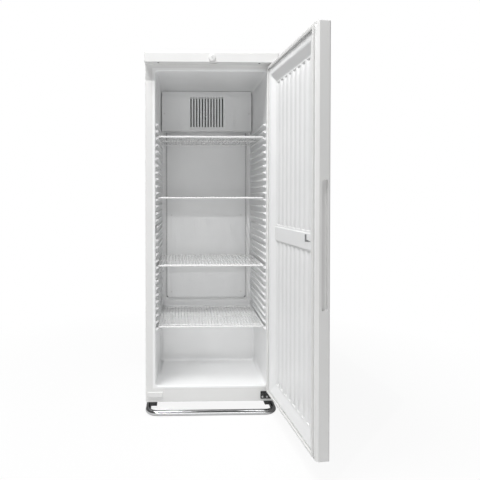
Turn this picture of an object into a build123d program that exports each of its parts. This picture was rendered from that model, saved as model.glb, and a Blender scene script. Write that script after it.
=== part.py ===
from build123d import *
import math
import os

# An upright bottle refrigerator with one solid door, drawn with the door standing open.
# Millimetres, +Z up. The origin is on the floor, under the centre of the cabinet.
# The cabinet's front looks along -Y, and the door's hinges are on its +X side.
# A "depth" is measured back from the cabinet's front plane, so parts ahead of it are negative.

# Overall sizes of the cabinet
CABINET_WIDTH = 600
CABINET_DEPTH = 550
TOTAL_HEIGHT = 1640
BODY_BOTTOM = 55
HALF = CABINET_WIDTH / 2
FRONT = -CABINET_DEPTH / 2

# Sheets, walls and the gaps left between parts
SHEET = 0.8
SHELL_ROUND = 2.4
PLATE = 2.0
LINER_WALL = 2.5
SEAM = 0.5
FREE_GAP = 0.3
PIN_FIT = 0.05
SCREW_RADIUS = 2.4
SCREW_HEAD_RADIUS = 4.5
SCREW_HEAD_HEIGHT = 2
SCREW_HEAD_ROUND = 1.2
INNER_HALF = HALF - SHEET

# The steel frame round the door opening
COVER_HEIGHT = 28
FRAME_WIDTH = 32
LIP_BOTTOM = 117
SHELL_TOP = TOTAL_HEIGHT - COVER_HEIGHT
FRAME_TOP = SHELL_TOP - FRAME_WIDTH
FRAME_HALF = HALF - FRAME_WIDTH

# The compressor and the machine space round it, at the lower back
COMPRESSOR_LENGTH = 190
COMPRESSOR_WIDTH = 120
COMPRESSOR_HEIGHT = 160
COMPRESSOR_OFFSET = 60
COMPRESSOR_ROUND = 30
COMPRESSOR_SEAM = 4
COMPRESSOR_SEAM_SHARE = 0.55
FEET_LENGTH = 184
FEET_WIDTH = 84
FOOT_THICK = 3
FOOT_HALF_LENGTH = 14
FOOT_HALF_WIDTH = 10
FOOT_ARM_LENGTH = 45
FOOT_ARM_HALF = 8
BASE_END_GAP = 30
BASE_OVERHANG = 8
BASE_HEIGHT = 12
MOUNT_HEIGHT = 15
MOUNT_STEM = 4
MOUNT_RADIUS = 9
MOUNT_CAP_HEIGHT = 3
MOUNT_CAP_RADIUS = 7
COMPRESSOR_SIDE_ROOM = 15
COMPRESSOR_HEAD_ROOM = 108
MACHINE_FLOOR_SET_IN = 2
POT_LOW = BODY_BOTTOM + PLATE + MOUNT_HEIGHT
POT_TOP = POT_LOW + COMPRESSOR_HEIGHT
POT_DEPTH = CABINET_DEPTH - COMPRESSOR_SIDE_ROOM - COMPRESSOR_WIDTH / 2
MACHINE_FRONT = CABINET_DEPTH - 2 * COMPRESSOR_SIDE_ROOM - COMPRESSOR_WIDTH
MACHINE_ROOF = POT_TOP + COMPRESSOR_HEAD_ROOM

# The cooled room inside the liner, with the step over the compressor at its lower back
LIP_WIDTH = 13
FLOOR_LIP = 11
WALL_TAPER = 8.5
REAR_SET_IN = 26
REAR_LIP = 12
BACK_FOAM = 39
STEP_FOAM = 46
ROOF_FOAM = 45
ROOM_CORNER = 14
LIP_ROUND = 6
RELIEF_FRONT = 5
RELIEF_BACK = 2
RELIEF_TOP = 3
OPENING_HALF = FRAME_HALF - LIP_WIDTH
BACK_HALF = OPENING_HALF - WALL_TAPER
FLOOR_TOP = LIP_BOTTOM + FLOOR_LIP
CEILING = FRAME_TOP - LIP_WIDTH
REAR_SHEET_DEPTH = CABINET_DEPTH - REAR_SET_IN
REAR_DEPTH = REAR_SHEET_DEPTH + SHEET
ROOM_DEPTH = REAR_SHEET_DEPTH - BACK_FOAM
WALL_DRAFT = WALL_TAPER / ROOM_DEPTH
STEP_DEPTH = MACHINE_FRONT - STEP_FOAM
STEP_TOP = MACHINE_ROOF + ROOF_FOAM

# The drain in the step's ledge, and the oval plug in the left wall
DRAIN_RADIUS = 7
DRAIN_WALL = 1.7
DRAIN_DROP = 40
PLUG_LENGTH = 36
PLUG_WIDTH = 15
PLUG_DEPTH = 18
PLUG_HEIGHT = 845
PLUG_HALF_THICK = 2

# The fan housing across the top of the room's back wall
HOUSING_HEIGHT = 189
HOUSING_DROP = 29
HOUSING_DEEP = 55
HOUSING_SIDE_GAP = 3
HOUSING_TOP_GAP = 1.5
NECK_SET_BACK = 10
HOUSING_WALL = 2.5
HOUSING_SCREW_INSET = 14
HOUSING_SCREW_RAISE = 95
DUCT_SIDE = 5
DUCT_DEEP = 20
ARCH_HALF = 130
ARCH_FLAT_HALF = 90
ARCH_RISE = 11
BOSS_BULGE_HALF = 158
BOSS_PROUD = 3
STAND_RADIUS = 6
SLOT_COUNT = 12
SLOT_PITCH = 15.5
SLOT_WIDTH = 7
SLOT_FOOT = 22
SLOT_HEAD = 5
HOUSING_HALF = BACK_HALF - HOUSING_SIDE_GAP
HOUSING_TOP = CEILING - HOUSING_DROP
HOUSING_BOTTOM = HOUSING_TOP - HOUSING_HEIGHT
HOUSING_FRONT = ROOM_DEPTH - HOUSING_DEEP
SLOT_BOTTOM = HOUSING_BOTTOM + SLOT_FOOT
SLOT_TOP = HOUSING_TOP - SLOT_HEAD

# The panel on the back wall, with the recess behind it that leaves dark gaps round it
AIR_PANEL_SIDE = 29.5
AIR_PANEL_RAISE = 53
AIR_PANEL_THICK = 3
AIR_PANEL_CORNER = 14
AIR_PANEL_LAP = 30
PANEL_STAND_INSET = 25
PANEL_STAND_RAISE = 30
RECESS_DEPTH = 8
RECESS_SIDE_GAP = 8
RECESS_BOTTOM_GAP = 17
PANEL_FOLD_DROP = 85
PANEL_FOLD_WIDTH = 2
PANEL_FOLD_SINK = 0.6
AIR_PANEL_HALF = BACK_HALF - AIR_PANEL_SIDE
AIR_PANEL_BOTTOM = STEP_TOP + AIR_PANEL_RAISE
PANEL_FOLD_HEIGHT = HOUSING_BOTTOM - PANEL_FOLD_DROP
RECESS_BACK = ROOM_DEPTH + RECESS_DEPTH
LINER_BACK = RECESS_BACK + LINER_WALL

# The ledges moulded in the side walls, which carry the shelves
LEDGE_PITCH = 31.4
LEDGE_OVER_STEP = 5
LEDGE_TOP_GAP = 10
LEDGE_OVERHANG = 5.5
LEDGE_HEIGHT = 14
LEDGE_EDGE = 5
LEDGE_FRONT = 20
LEDGE_END_GAP = 12
LEDGE_NOSE = 11
LEDGE_FACE_HALF = BACK_HALF - LEDGE_OVERHANG
LEDGE_FIRST_TOP = STEP_TOP + LEDGE_OVER_STEP
LEDGE_COUNT = int((HOUSING_BOTTOM - LEDGE_TOP_GAP - LEDGE_FIRST_TOP) / LEDGE_PITCH) + 1

# Wire shelves, spread over the ledges from the lowest one up
SHELF_COUNT = 4
LEDGES_OVER_TOP_SHELF = 2
SHELF_FRONT = 22
SHELF_BACK_GAP = 5
SHELF_CORNER = 12
FRAME_WIRE = 6
BAR_WIRE = 5
GRID_WIRE = 3
GRID_COUNT = 31
GRID_REACH = 2.2
WELD_SINK = 0.7
SHELF_BARS = (40, 203)
SHELF_HALF = BACK_HALF
SHELF_DEPTH = HOUSING_FRONT - SHELF_BACK_GAP - SHELF_FRONT

# The circulating fan and the thermostat behind the housing
FAN_RAISE = 97
FAN_GAP = 17
FAN_RADIUS = 66
FAN_BLADES = 5
FAN_HUB_RADIUS = 17
FAN_HUB_LENGTH = 14
FAN_SHAFT_RADIUS = 2.5
FAN_SHAFT_SINK = 2
FAN_HUB_ROUND = 4
FAN_REAR_GAP = 3
BLADE_WIDTH = 34
BLADE_HALF_THICK = 0.8
BLADE_TWIST = 22
BLADE_ROOT = 3
BLADE_ROUND = 8
MOTOR_RADIUS = 27
MOTOR_LENGTH = 24
MOTOR_ROUND = 3
MOTOR_NOSE_RADIUS = 6
BRACKET_ARM_HALF = 95
BRACKET_ARM_WIDTH = 16
BRACKET_LEG_THICK = 5
BRACKET_FOOT = 15
BRACKET_DISC_RIM = 4
NOSE_ROOM = 1
THERMOSTAT_X = 172
THERMOSTAT_WIDTH = 45
THERMOSTAT_HEIGHT = 50
THERMOSTAT_DEEP = 32
THERMOSTAT_RAISE = 85
THERMOSTAT_ROUND = 3
SPINDLE_RADIUS = 4
SPINDLE_LENGTH = 8
FAN_CENTRE_HEIGHT = HOUSING_BOTTOM + FAN_RAISE
FAN_DEPTH = HOUSING_FRONT + FAN_GAP

# The top cover with its front fascia
FASCIA_HEIGHT = 45
FASCIA_PROUD = 55
COVER_WALL = 3
COVER_ROUND = 5
COVER_SCREW_DEPTH = -38
COVER_SCREW_LEFT = 61
COVER_SCREW_RIGHT = 86
COVER_SCREW_LENGTH = 12
COVER_SCREW_HEAD = 4
COVER_SCREW_HEAD_HEIGHT = 1.2
FASCIA_BOTTOM = TOTAL_HEIGHT - FASCIA_HEIGHT
COVER_INSIDE_TOP = TOTAL_HEIGHT - COVER_WALL

# The lock in the fascia
LOCK_RAISE = 18
BEZEL_RADIUS = 16.5
BEZEL_PROUD = 6
BEZEL_ROUND = 4
BEZEL_SLEEVE = 8
BARREL_RADIUS = 10
BARREL_PROUD = 7
BARREL_ROUND = 1.5
SLEEVE_WALL = 2
KEYWAY_HALF_WIDTH = 1
KEYWAY_HALF_HEIGHT = 4.5
KEYWAY_DEEP = 9
CAM_LENGTH = 29
CAM_WIDTH = 8
CAM_THICK = 3
CAM_DEPTH = -32
CAM_BOSS_RADIUS = 7
CAM_ROOM = 2.5
CAM_TIP_ROUND = 3
LOCK_HEIGHT = FASCIA_BOTTOM + LOCK_RAISE

# The door, whose own depth v runs from the gasket's crest (0) to its outer face
DOOR_BOTTOM = 93
DOOR_TOP_GAP = 3
DOOR_THICK = 60
DOOR_GAP = 1
DOOR_EDGE_V = 20
DOOR_FLANGE_V = 11
DOOR_CHAMFER = 10
DOOR_ROUND = 6
DOOR_CAP = 12
DOOR_CAP_ROUND = 2
DOOR_LINER_WALL = 2
DOOR_REST_ANGLE = 96
DOOR_TOP = FASCIA_BOTTOM - DOOR_TOP_GAP

# The hinge pins, in line over each other at the door's +X side
PIN_INSET = 20
PIN_FROM_CREST = 30
PIN_RADIUS = 4
PIN_CHAMFER = 0.8
PIN_END_GAP = 2
PIN_HEAD_HEIGHT = 3
PIN_HEAD_RIM = 3
LOWER_HEAD_HEIGHT = 4
LOWER_HEAD_RIM = 2.5
PIN_X = HALF - PIN_INSET
PIN_Y = FRONT - DOOR_GAP - PIN_FROM_CREST

# The door's gasket and the groove beside it
GASKET_OUTER = 14
GASKET_WIDTH = 9
GASKET_ROUND = 2.5
LINER_LAP = 2
GROOVE_INSET = 26
LINER_EDGE_GAP = 1
FOAM_RIM_LAP = 10

# The relief of the door's inner side
DAM_V = 9
FIELD_V = 24
POCKET_SIDE = 50
POCKET_TOP_GAP = 54
POCKET_BOTTOM_GAP = 28
HINGE_RAMP = 42
FREE_RAMP = 35
TOP_RAMP = 38
BOTTOM_RAMP = 44
FLUTE_MARGIN = 26
FLUTE_PITCH = 52.7
FLUTE_WIDTH = 38
FLUTE_SINK = 4.5
FLUTE_END_GAP = 7
FLUTE_TOP_GAP = 1
BAND_BOTTOM = 806
BAND_HEIGHT = 59
BAND_PROUD = 3
POCKET_TOP = DOOR_TOP - POCKET_TOP_GAP
POCKET_BOTTOM = DOOR_BOTTOM + POCKET_BOTTOM_GAP
FIELD_HINGE_SIDE = POCKET_SIDE + HINGE_RAMP
FIELD_FREE_SIDE = CABINET_WIDTH - POCKET_SIDE - FREE_RAMP
FIELD_TOP = POCKET_TOP - TOP_RAMP
FIELD_BOTTOM = POCKET_BOTTOM + BOTTOM_RAMP
BAND_TOP = BAND_BOTTOM + BAND_HEIGHT
FLUTE_FIRST = FIELD_HINGE_SIDE + FLUTE_MARGIN
FLUTE_COUNT = int((FIELD_FREE_SIDE - FLUTE_FIRST - FLUTE_WIDTH / 2) / FLUTE_PITCH) + 1

# The small clip on the plain band, placed by its inset from the door's free edge
CLIP_INSET = 126
CLIP_RAISE = 28
CLIP_FOOT_LENGTH = 26
CLIP_ARM_LENGTH = 48
CLIP_POST_WIDTH = 4
CLIP_POST_HEIGHT = 27
CLIP_FOOT_HEIGHT = 7
CLIP_ARM_HEIGHT = 3
CLIP_THICK = 2
CLIP_PROUD = 7

# The recessed grip in the door's free edge
GRIP_BOTTOM = 608
GRIP_LENGTH = 447
GRIP_WIDTH = 21
GRIP_FACE_GAP = 9
GRIP_DEEP = 15
GRIP_WALL = 1.5
GRIP_ROUND = 5
GRIP_TOP = GRIP_BOTTOM + GRIP_LENGTH
GRIP_V = DOOR_THICK - GRIP_FACE_GAP - GRIP_WIDTH

# The hinge brackets and the white cover over the spare hinge place
HINGE_PLATE = 4
UPPER_PLATE_REACH = 40
UPPER_PLATE_SIDE_GAP = 2
UPPER_PLATE_NOSE = 14
UPPER_PLATE_BACK = 60
UPPER_PLATE_ROUND = 6
UPPER_SCREW_SPOTS = ((25, 20), (5, 45))
UPPER_SCREW_HEAD = 2.5
LOWER_SCREW_HEAD = 2.2
TONGUE_GAP = 5
TONGUE_ROUND = 10
LOWER_PLATE_RAISE = 11
LOWER_PLATE_HEIGHT = 34
LOWER_PLATE_WIDTH = 73
LOWER_PLATE_INSET = 2
LOWER_PLATE_ROUND = 3
LOWER_SCREW_RAISE = 9
LOWER_SCREW_INSETS = (9, 30)
TONGUE_NOSE = 12
TONGUE_SIDE = 18
TONGUE_EDGE_GAP = 2
WEB_RAISE = 4
WEB_OFFSET = 14
WEB_THICK = 3
SWING_GAP = 2
BUSH_WALL = 3
BUSH_FLANGE = 9
BUSH_FLANGE_THICK = 1.5
BUSH_SEAT = 3
SPARE_COVER_INSET = 9
SPARE_COVER_WIDTH = 69
SPARE_COVER_RAISE = 23
SPARE_COVER_HEIGHT = 24
SPARE_COVER_PROUD = 7
SPARE_COVER_ROUND = 3
LOWER_TONGUE_TOP = DOOR_BOTTOM - TONGUE_GAP
LOWER_PLATE_BOTTOM = BODY_BOTTOM + LOWER_PLATE_RAISE
LOWER_PLATE_TOP = LOWER_PLATE_BOTTOM + LOWER_PLATE_HEIGHT
LOWER_PLATE_LEFT = HALF - LOWER_PLATE_WIDTH

# The front foot bar and its brackets
BAR_RADIUS = 12.5
BAR_WALL = 1.5
BAR_INSET = 9.5
BAR_FRONT = -20
BAR_BACK = 330
BAR_BEND = 45
BAR_PLUG_LENGTH = 15
BAR_PLUG_CAP = 4
BAR_PLUG_ROUND = 1.5
BAR_BOLT_RADIUS = 3
BRACKET_SET_IN = 41.5
BRACKET_WIDTH = 28
BRACKET_GAP = 9
BRACKET_FRONT = 5
BRACKET_BACK = 185
ARM_FRONT = 140
ARM_THICK = 12
ARM_LAP = 20
ARM_PAST_BAR = 6
ARM_BACK_GAP = 4
BRACKET_ROUND = 3
BOLT_END_RAISE = 6
BOLT_HEAD_RADIUS = 5.5
BOLT_HEAD_HEIGHT = 4
BAR_HALF = HALF - BAR_INSET
BRACKET_INNER = BAR_HALF - BRACKET_SET_IN
BRACKET_BOTTOM = 2 * BAR_RADIUS + BRACKET_GAP

# The rear rollers, which just clear the underside of the cabinet
ROLLER_GAP = 5
ROLLER_WIDTH = 22
ROLLER_INSET = 65
ROLLER_SET_IN = 45
ROLLER_RIM = 6
ROLLER_HUB = 4
ROLLER_HOLLOW = 4
ROLLER_SIDE_GAP = 1.5
AXLE_RADIUS = 4
AXLE_HEAD_LENGTH = 2.5
AXLE_HEAD_RIM = 2
ROLLER_ROUND = 2
CHEEK = 2.5
CHEEK_HALF_LENGTH = 20
CHEEK_BELOW_AXLE = 11
CHEEK_FLANGE = 8
ROLLER_RADIUS = (BODY_BOTTOM - ROLLER_GAP) / 2
ROLLER_OFFSET = HALF - ROLLER_INSET
ROLLER_DEPTH = CABINET_DEPTH - ROLLER_SET_IN

# The condenser on the cabinet's back
CONDENSER_BEHIND = 14
CONDENSER_INSET = 55
CONDENSER_RAISE = 50
CONDENSER_DROP = 67
CONDENSER_RUNS = 18
CONDENSER_RADIUS = 2.5
WIRE_RADIUS = 0.8
WIRE_PITCH = 24
WIRE_MARGIN = 30
WIRE_OVERHANG = 20
WELD_GAP = 0.02
CLIP_HALF_SIZE = 9
CLIP_LIP = 4.5
CLIP_MOUTH = 3.4
CLIP_ROUND = 3
CONDENSER_DEPTH = CABINET_DEPTH - CONDENSER_BEHIND
CONDENSER_HALF = HALF - CONDENSER_INSET
CONDENSER_BOTTOM = MACHINE_ROOF + CONDENSER_RAISE
CONDENSER_TOP = SHELL_TOP - CONDENSER_DROP
CONDENSER_PITCH = (CONDENSER_TOP - CONDENSER_BOTTOM) / (CONDENSER_RUNS - 1)

# The cold plate behind the room's back wall
EVAPORATOR_SIDE = 27
EVAPORATOR_RAISE = 32
EVAPORATOR_DROP = 29
EVAPORATOR_MARGIN = 25
EVAPORATOR_RUNS = 14
EVAPORATOR_SHEET = 1.5
EVAPORATOR_TUBE = 4
TUBE_SINK = 0.6
PLATE_POCKET_SIDE = 8
PLATE_POCKET_BACK = 3
PLATE_POCKET_END = 12
EVAPORATOR_HALF = AIR_PANEL_HALF - EVAPORATOR_SIDE
EVAPORATOR_BOTTOM = AIR_PANEL_BOTTOM + EVAPORATOR_RAISE
EVAPORATOR_TOP = HOUSING_BOTTOM - EVAPORATOR_DROP
EVAPORATOR_TUBE_DEPTH = LINER_BACK + EVAPORATOR_SHEET + EVAPORATOR_TUBE - TUBE_SINK

# The pipes between compressor, condenser and cold plate, with the drier
PIPE_RADIUS = 3
PIPE_BEND = 10
PIPE_ROOM = 1
STUB = 4
STUB_SINK = 2
DISCHARGE_RAISE = 65
DISCHARGE_OUT = 30
RISER_INSET = 25
SUCTION_RAISE = 48
SUCTION_INSET = 13
SUCTION_SLANT = 60
STUB_GAP = 12
DRIER_OUT = 12
DRIER_DROP = 80
DRIER_LENGTH = 110
DRIER_RADIUS = 9
CAPILLARY_RADIUS = 1
CAPILLARY_DROP = 30
DISCHARGE_HEIGHT = POT_LOW + DISCHARGE_RAISE
SUCTION_HEIGHT = POT_LOW + SUCTION_RAISE
POT_END = COMPRESSOR_OFFSET - COMPRESSOR_LENGTH / 2
SUCTION_X = -EVAPORATOR_HALF + SUCTION_INSET

# The evaporating tray and the terminal box at the compressor
TRAY_LENGTH = 160
TRAY_WIDTH = 110
TRAY_HEIGHT = 32
TRAY_CORNER = 12
TRAY_WALL = 2
TERMINAL_LENGTH = 32
TERMINAL_WIDTH = 56
TERMINAL_HEIGHT = 55
TERMINAL_RAISE = 45
TERMINAL_ROUND = 6

# The gland of the mains cord, in a tab of the machine floor
GLAND_INSET = 41
GLAND_RAISE = 34
TAB_SET_IN = 40
TAB_WIDTH = 36
TAB_HEIGHT = 50
GLAND_RADIUS = 8
GLAND_BORE = 4
GLAND_FRONT = 6
GLAND_FLANGE = 4
GLAND_BACK = 14
GLAND_NUT = 3
INLET_X = -HALF + GLAND_INSET
INLET_DEPTH = CABINET_DEPTH - TAB_SET_IN
INLET_HEIGHT = BODY_BOTTOM + GLAND_RAISE

os.makedirs("parts", exist_ok=True)


def save(name, shape):
    """Write one node."""
    export_step(shape, f"parts/{name}.step")


def block(x0, x1, depth0, depth1, z0, z1):
    """A block between two corners, its depths measured from the cabinet's front plane."""
    middle = Pos((x0 + x1) / 2, FRONT + (depth0 + depth1) / 2, (z0 + z1) / 2)
    return middle * Box(x1 - x0, depth1 - depth0, z1 - z0)


def upright(x, depth, z0, z1, radius):
    """A cylinder standing along Z."""
    return Pos(x, FRONT + depth, (z0 + z1) / 2) * Cylinder(radius, z1 - z0)


def endwise(x, z, depth0, depth1, radius):
    """A cylinder lying along Y."""
    middle = Pos(x, FRONT + (depth0 + depth1) / 2, z)
    return middle * Rot(90, 0, 0) * Cylinder(radius, depth1 - depth0)


def crosswise(x0, x1, depth, z, radius):
    """A cylinder lying along X."""
    middle = Pos((x0 + x1) / 2, FRONT + depth, z)
    return middle * Rot(0, 90, 0) * Cylinder(radius, x1 - x0)


def mirrored(shape):
    """The same shape on the other side of the cabinet."""
    return mirror(shape, about=Plane.YZ)


def group(shapes):
    """Separate solids kept together in one node."""
    solids = [solid for shape in shapes for solid in shape.solids()]
    return Compound(children=solids)


def upright_edges(shape, depth, tolerance=0.01):
    """The vertical edges of a shape at one depth."""
    chosen = []
    for edge in shape.edges().filter_by(Axis.Z):
        if abs(edge.center().Y - FRONT - depth) < tolerance:
            chosen.append(edge)
    return chosen


def prism_along_z(points, z0, z1):
    """An upright prism from plan points given as (x, depth)."""
    outline = make_face(Polyline([(x, FRONT + depth) for x, depth in points], close=True))
    return extrude(Pos(0, 0, z0) * outline, amount=z1 - z0, dir=(0, 0, 1))


def prism_along_x(points, x0, x1):
    """A sideways prism from side points given as (depth, z)."""
    corners = [(x0, FRONT + depth, z) for depth, z in points]
    outline = make_face(Polyline(corners, close=True))
    return extrude(outline, amount=x1 - x0, dir=(1, 0, 0))


def room(grow):
    """The cooled room, each wall moved outward by grow."""
    front_half = OPENING_HALF + grow
    back = ROOM_DEPTH + grow
    back_half = front_half - WALL_DRAFT * back
    plan = [(-front_half, 0), (front_half, 0), (back_half, back), (-back_half, back)]
    low = FLOOR_TOP - grow
    high = CEILING + grow
    step = STEP_DEPTH + grow
    ledge = STEP_TOP - grow
    side = [(0, low), (step, low), (step, ledge), (back, ledge), (back, high), (0, high)]
    shape = prism_along_z(plan, low, high) & prism_along_x(side, -front_half, front_half)
    inside_edges = [edge for edge in shape.edges() if edge.center().Y > FRONT + 0.01]
    return fillet(inside_edges, ROOM_CORNER + grow)


def panel_recess(grow):
    """The shallow recess in the room's back wall, behind the air panel."""
    half = AIR_PANEL_HALF + RECESS_SIDE_GAP + grow
    low = AIR_PANEL_BOTTOM - RECESS_BOTTOM_GAP - grow
    high = HOUSING_TOP - HOUSING_WALL + grow
    shape = block(-half, half, ROOM_DEPTH - 1, RECESS_BACK + grow, low, high)
    low_edges = [edge for edge in shape.edges().filter_by(Axis.Y) if edge.center().Z < low + 1]
    return fillet(low_edges, AIR_PANEL_CORNER + RECESS_SIDE_GAP + grow)


def shelf_relief(grow):
    """Straight room over the step, so that its rounded sides clear the lowest shelf."""
    half = SHELF_HALF + SEAM + grow
    front = STEP_DEPTH - ROOM_CORNER - RELIEF_FRONT
    back = SHELF_FRONT + SHELF_DEPTH + RELIEF_BACK + grow
    top = STEP_TOP + ROOM_CORNER + RELIEF_TOP
    return block(-half, half, front, back, STEP_TOP - grow, top)


def cooled_space(grow):
    """The room with the recess in its back wall."""
    return room(grow) + panel_recess(grow) + shelf_relief(grow)


def wall_ledges():
    """All the shelf ledges, before they are trimmed to the side walls."""
    outer = OPENING_HALF + LINER_WALL
    face = LEDGE_FACE_HALF
    low = LEDGE_FIRST_TOP - LEDGE_HEIGHT
    edge_low = LEDGE_FIRST_TOP - LEDGE_EDGE
    back = ROOM_DEPTH - LEDGE_END_GAP
    section = [
        (face, FRONT + LEDGE_FRONT, LEDGE_FIRST_TOP),
        (face, FRONT + LEDGE_FRONT, edge_low),
        (outer, FRONT + LEDGE_FRONT, low),
        (outer, FRONT + LEDGE_FRONT, LEDGE_FIRST_TOP),
    ]
    bar = extrude(make_face(Polyline(section, close=True)), amount=back - LEDGE_FRONT, dir=(0, 1, 0))
    nose_edges = upright_edges(bar, LEDGE_FRONT)
    bar = fillet([edge for edge in nose_edges if edge.center().X < face + 1], LEDGE_NOSE)
    ledges = []
    for number in range(LEDGE_COUNT):
        ledge = Pos(0, 0, number * LEDGE_PITCH) * bar
        ledges.append(ledge)
        ledges.append(mirrored(ledge))
    return ledges


def drain_hole(z0, z1, radius=DRAIN_RADIUS):
    """The upright way of the drain, from the step's ledge to the machine space."""
    return upright(0, (STEP_DEPTH + ROOM_DEPTH) / 2, z0, z1, radius)


def spot_on_wall(grow, x0, x1):
    """The outline of the oval plug in the left wall, run along X."""
    outline = SlotOverall(PLUG_LENGTH + 2 * grow, PLUG_WIDTH + 2 * grow)
    turned = Pos(x0, FRONT + PLUG_DEPTH, PLUG_HEIGHT) * Rot(0, 90, 0) * outline
    return extrude(turned, amount=x1 - x0, dir=(1, 0, 0))


def inner_liner():
    """The moulded plastic room with its lip, ledges and step."""
    shell = cooled_space(LINER_WALL)
    lip = block(-FRAME_HALF + SEAM, FRAME_HALF - SEAM, 0, LINER_WALL, LIP_BOTTOM, FRAME_TOP - SEAM)
    lap_half = HALF - SHELL_ROUND
    lap = block(-lap_half, lap_half, SHEET, LINER_WALL, LIP_BOTTOM, SHELL_TOP - SHEET)
    shell = shell + lip + lap - cooled_space(0)
    rim = []
    for edge in shell.edges():
        place = edge.center()
        inside = abs(place.X) < OPENING_HALF + 1 and FLOOR_TOP - 1 < place.Z < CEILING + 1
        if abs(place.Y - FRONT) < 0.01 and inside:
            rim.append(edge)
    shell = fillet(rim, LIP_ROUND)
    limit = room(LINER_WALL / 2)
    ledges = [ledge & limit for ledge in wall_ledges()]
    shell = shell.fuse(*[solid for ledge in ledges for solid in ledge.solids()])
    shell = shell - drain_hole(STEP_TOP - 2 * LINER_WALL, STEP_TOP + 1)
    return shell - spot_on_wall(PIN_FIT, -OPENING_HALF - 5, -OPENING_HALF + 5)


def wall_plug():
    """The dark oval plug pressed into the left wall, near the front."""
    return spot_on_wall(0, -OPENING_HALF - PLUG_HALF_THICK, -OPENING_HALF + PLUG_HALF_THICK)


def outer_shell():
    """The folded steel sides and top, with the fold that frames the opening."""
    outer = block(-HALF, HALF, 0, CABINET_DEPTH, BODY_BOTTOM, SHELL_TOP)
    outer = fillet(upright_edges(outer, 0), SHELL_ROUND)
    inner = block(-INNER_HALF, INNER_HALF, SHEET, CABINET_DEPTH + 1, BODY_BOTTOM - 1, SHELL_TOP - SHEET)
    inner = fillet(upright_edges(inner, SHEET), SHELL_ROUND - SHEET)
    opening = block(-FRAME_HALF, FRAME_HALF, -1, SHEET + 1, BODY_BOTTOM - 1, FRAME_TOP)
    shell = outer - inner - opening
    for x, depth in upper_bracket_screws():
        shell = shell - upright(x, depth, SHELL_TOP - 2, SHELL_TOP + 1, SCREW_RADIUS + PIN_FIT)
    return shell


def rear_panel():
    """The steel rear sheet, set in to leave room for the condenser."""
    inner = INNER_HALF
    tray_top = SHELL_TOP - SHEET
    depth = REAR_SHEET_DEPTH
    lip = REAR_DEPTH + REAR_LIP
    sheet = block(-inner, inner, depth, REAR_DEPTH, MACHINE_ROOF + SHEET, tray_top)
    side = block(inner - SHEET, inner, depth, lip, MACHINE_ROOF + SHEET, tray_top)
    top = block(-inner, inner, depth, lip, tray_top - SHEET, tray_top)
    return sheet + side + mirrored(side) + top


def base_plate():
    """The steel plate under the foam."""
    return block(-INNER_HALF, INNER_HALF, LINER_WALL, MACHINE_FRONT, BODY_BOTTOM, BODY_BOTTOM + SHEET)


def base_front_panel():
    """The plain panel under the opening, flush with the frame, lapping behind it."""
    top = LIP_BOTTOM - SEAM
    face = block(-FRAME_HALF + SEAM, FRAME_HALF - SEAM, 0, LINER_WALL, BODY_BOTTOM, top)
    lap_half = HALF - SHELL_ROUND
    panel = face + block(-lap_half, lap_half, SHEET, LINER_WALL, BODY_BOTTOM, top)
    for x, z in lower_bracket_screws():
        panel = panel - endwise(x, z, -1, LINER_WALL + 1, SCREW_RADIUS + PIN_FIT)
    return panel


def machine_wall():
    """The bent sheet that parts the foam from the machine space."""
    front = block(-INNER_HALF, INNER_HALF, MACHINE_FRONT, MACHINE_FRONT + SHEET, BODY_BOTTOM, MACHINE_ROOF)
    roof_low = MACHINE_ROOF
    roof = block(-INNER_HALF, INNER_HALF, MACHINE_FRONT, REAR_DEPTH, roof_low, roof_low + SHEET)
    wall = front + roof
    wall = wall - drain_hole(MACHINE_ROOF - 5, MACHINE_ROOF + 5)
    return wall - suction_way(MACHINE_ROOF - 5, MACHINE_ROOF + 5, PIPE_RADIUS + PIPE_ROOM)


def machine_floor():
    """The plate that carries the compressor and the rollers, with a tab bent up for the gland."""
    floor_front = MACHINE_FRONT + SHEET
    top = BODY_BOTTOM + PLATE
    plate = block(-INNER_HALF, INNER_HALF, floor_front, CABINET_DEPTH - MACHINE_FLOOR_SET_IN, BODY_BOTTOM, top)
    for x, depth in compressor_feet():
        plate = plate - upright(x, depth, BODY_BOTTOM - 1, top + 1, MOUNT_STEM)
    tab_back = INLET_DEPTH + PLATE
    tab_half = TAB_WIDTH / 2
    tab = block(INLET_X - tab_half, INLET_X + tab_half, INLET_DEPTH, tab_back, top - 1, top + TAB_HEIGHT)
    return plate + tab - endwise(INLET_X, INLET_HEIGHT, INLET_DEPTH - 1, tab_back + 1, GLAND_RADIUS)


def suction_way(z0, z1, radius):
    """The upright way of the suction pipe through the foam."""
    return upright(SUCTION_X, EVAPORATOR_TUBE_DEPTH, z0, z1, radius)


def cabinet_foam():
    """The rigid foam that fills the cabinet's walls."""
    low = BODY_BOTTOM + SHEET
    high = SHELL_TOP - SHEET
    foam = block(-INNER_HALF, INNER_HALF, LINER_WALL, REAR_SHEET_DEPTH, low, high)
    machine = block(-HALF, HALF, MACHINE_FRONT, CABINET_DEPTH, 0, MACHINE_ROOF + SHEET)
    foam = foam - machine - cooled_space(LINER_WALL) - cold_plate_pocket()
    foam = foam - drain_hole(MACHINE_ROOF, STEP_TOP)
    foam = foam - suction_way(MACHINE_ROOF, EVAPORATOR_BOTTOM, PIPE_RADIUS + PIPE_ROOM)
    return foam - spot_on_wall(PIN_FIT, -OPENING_HALF - 5, -OPENING_HALF + 5)


def cold_plate_pocket():
    """The shallow space in the foam for the cold plate and its channel."""
    half = EVAPORATOR_HALF + PLATE_POCKET_SIDE
    back = EVAPORATOR_TUBE_DEPTH + EVAPORATOR_TUBE + PLATE_POCKET_BACK
    low = EVAPORATOR_BOTTOM - PLATE_POCKET_END
    high = EVAPORATOR_TOP + PLATE_POCKET_END
    return block(-half, half, LINER_BACK - 1, back, low, high)


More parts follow.
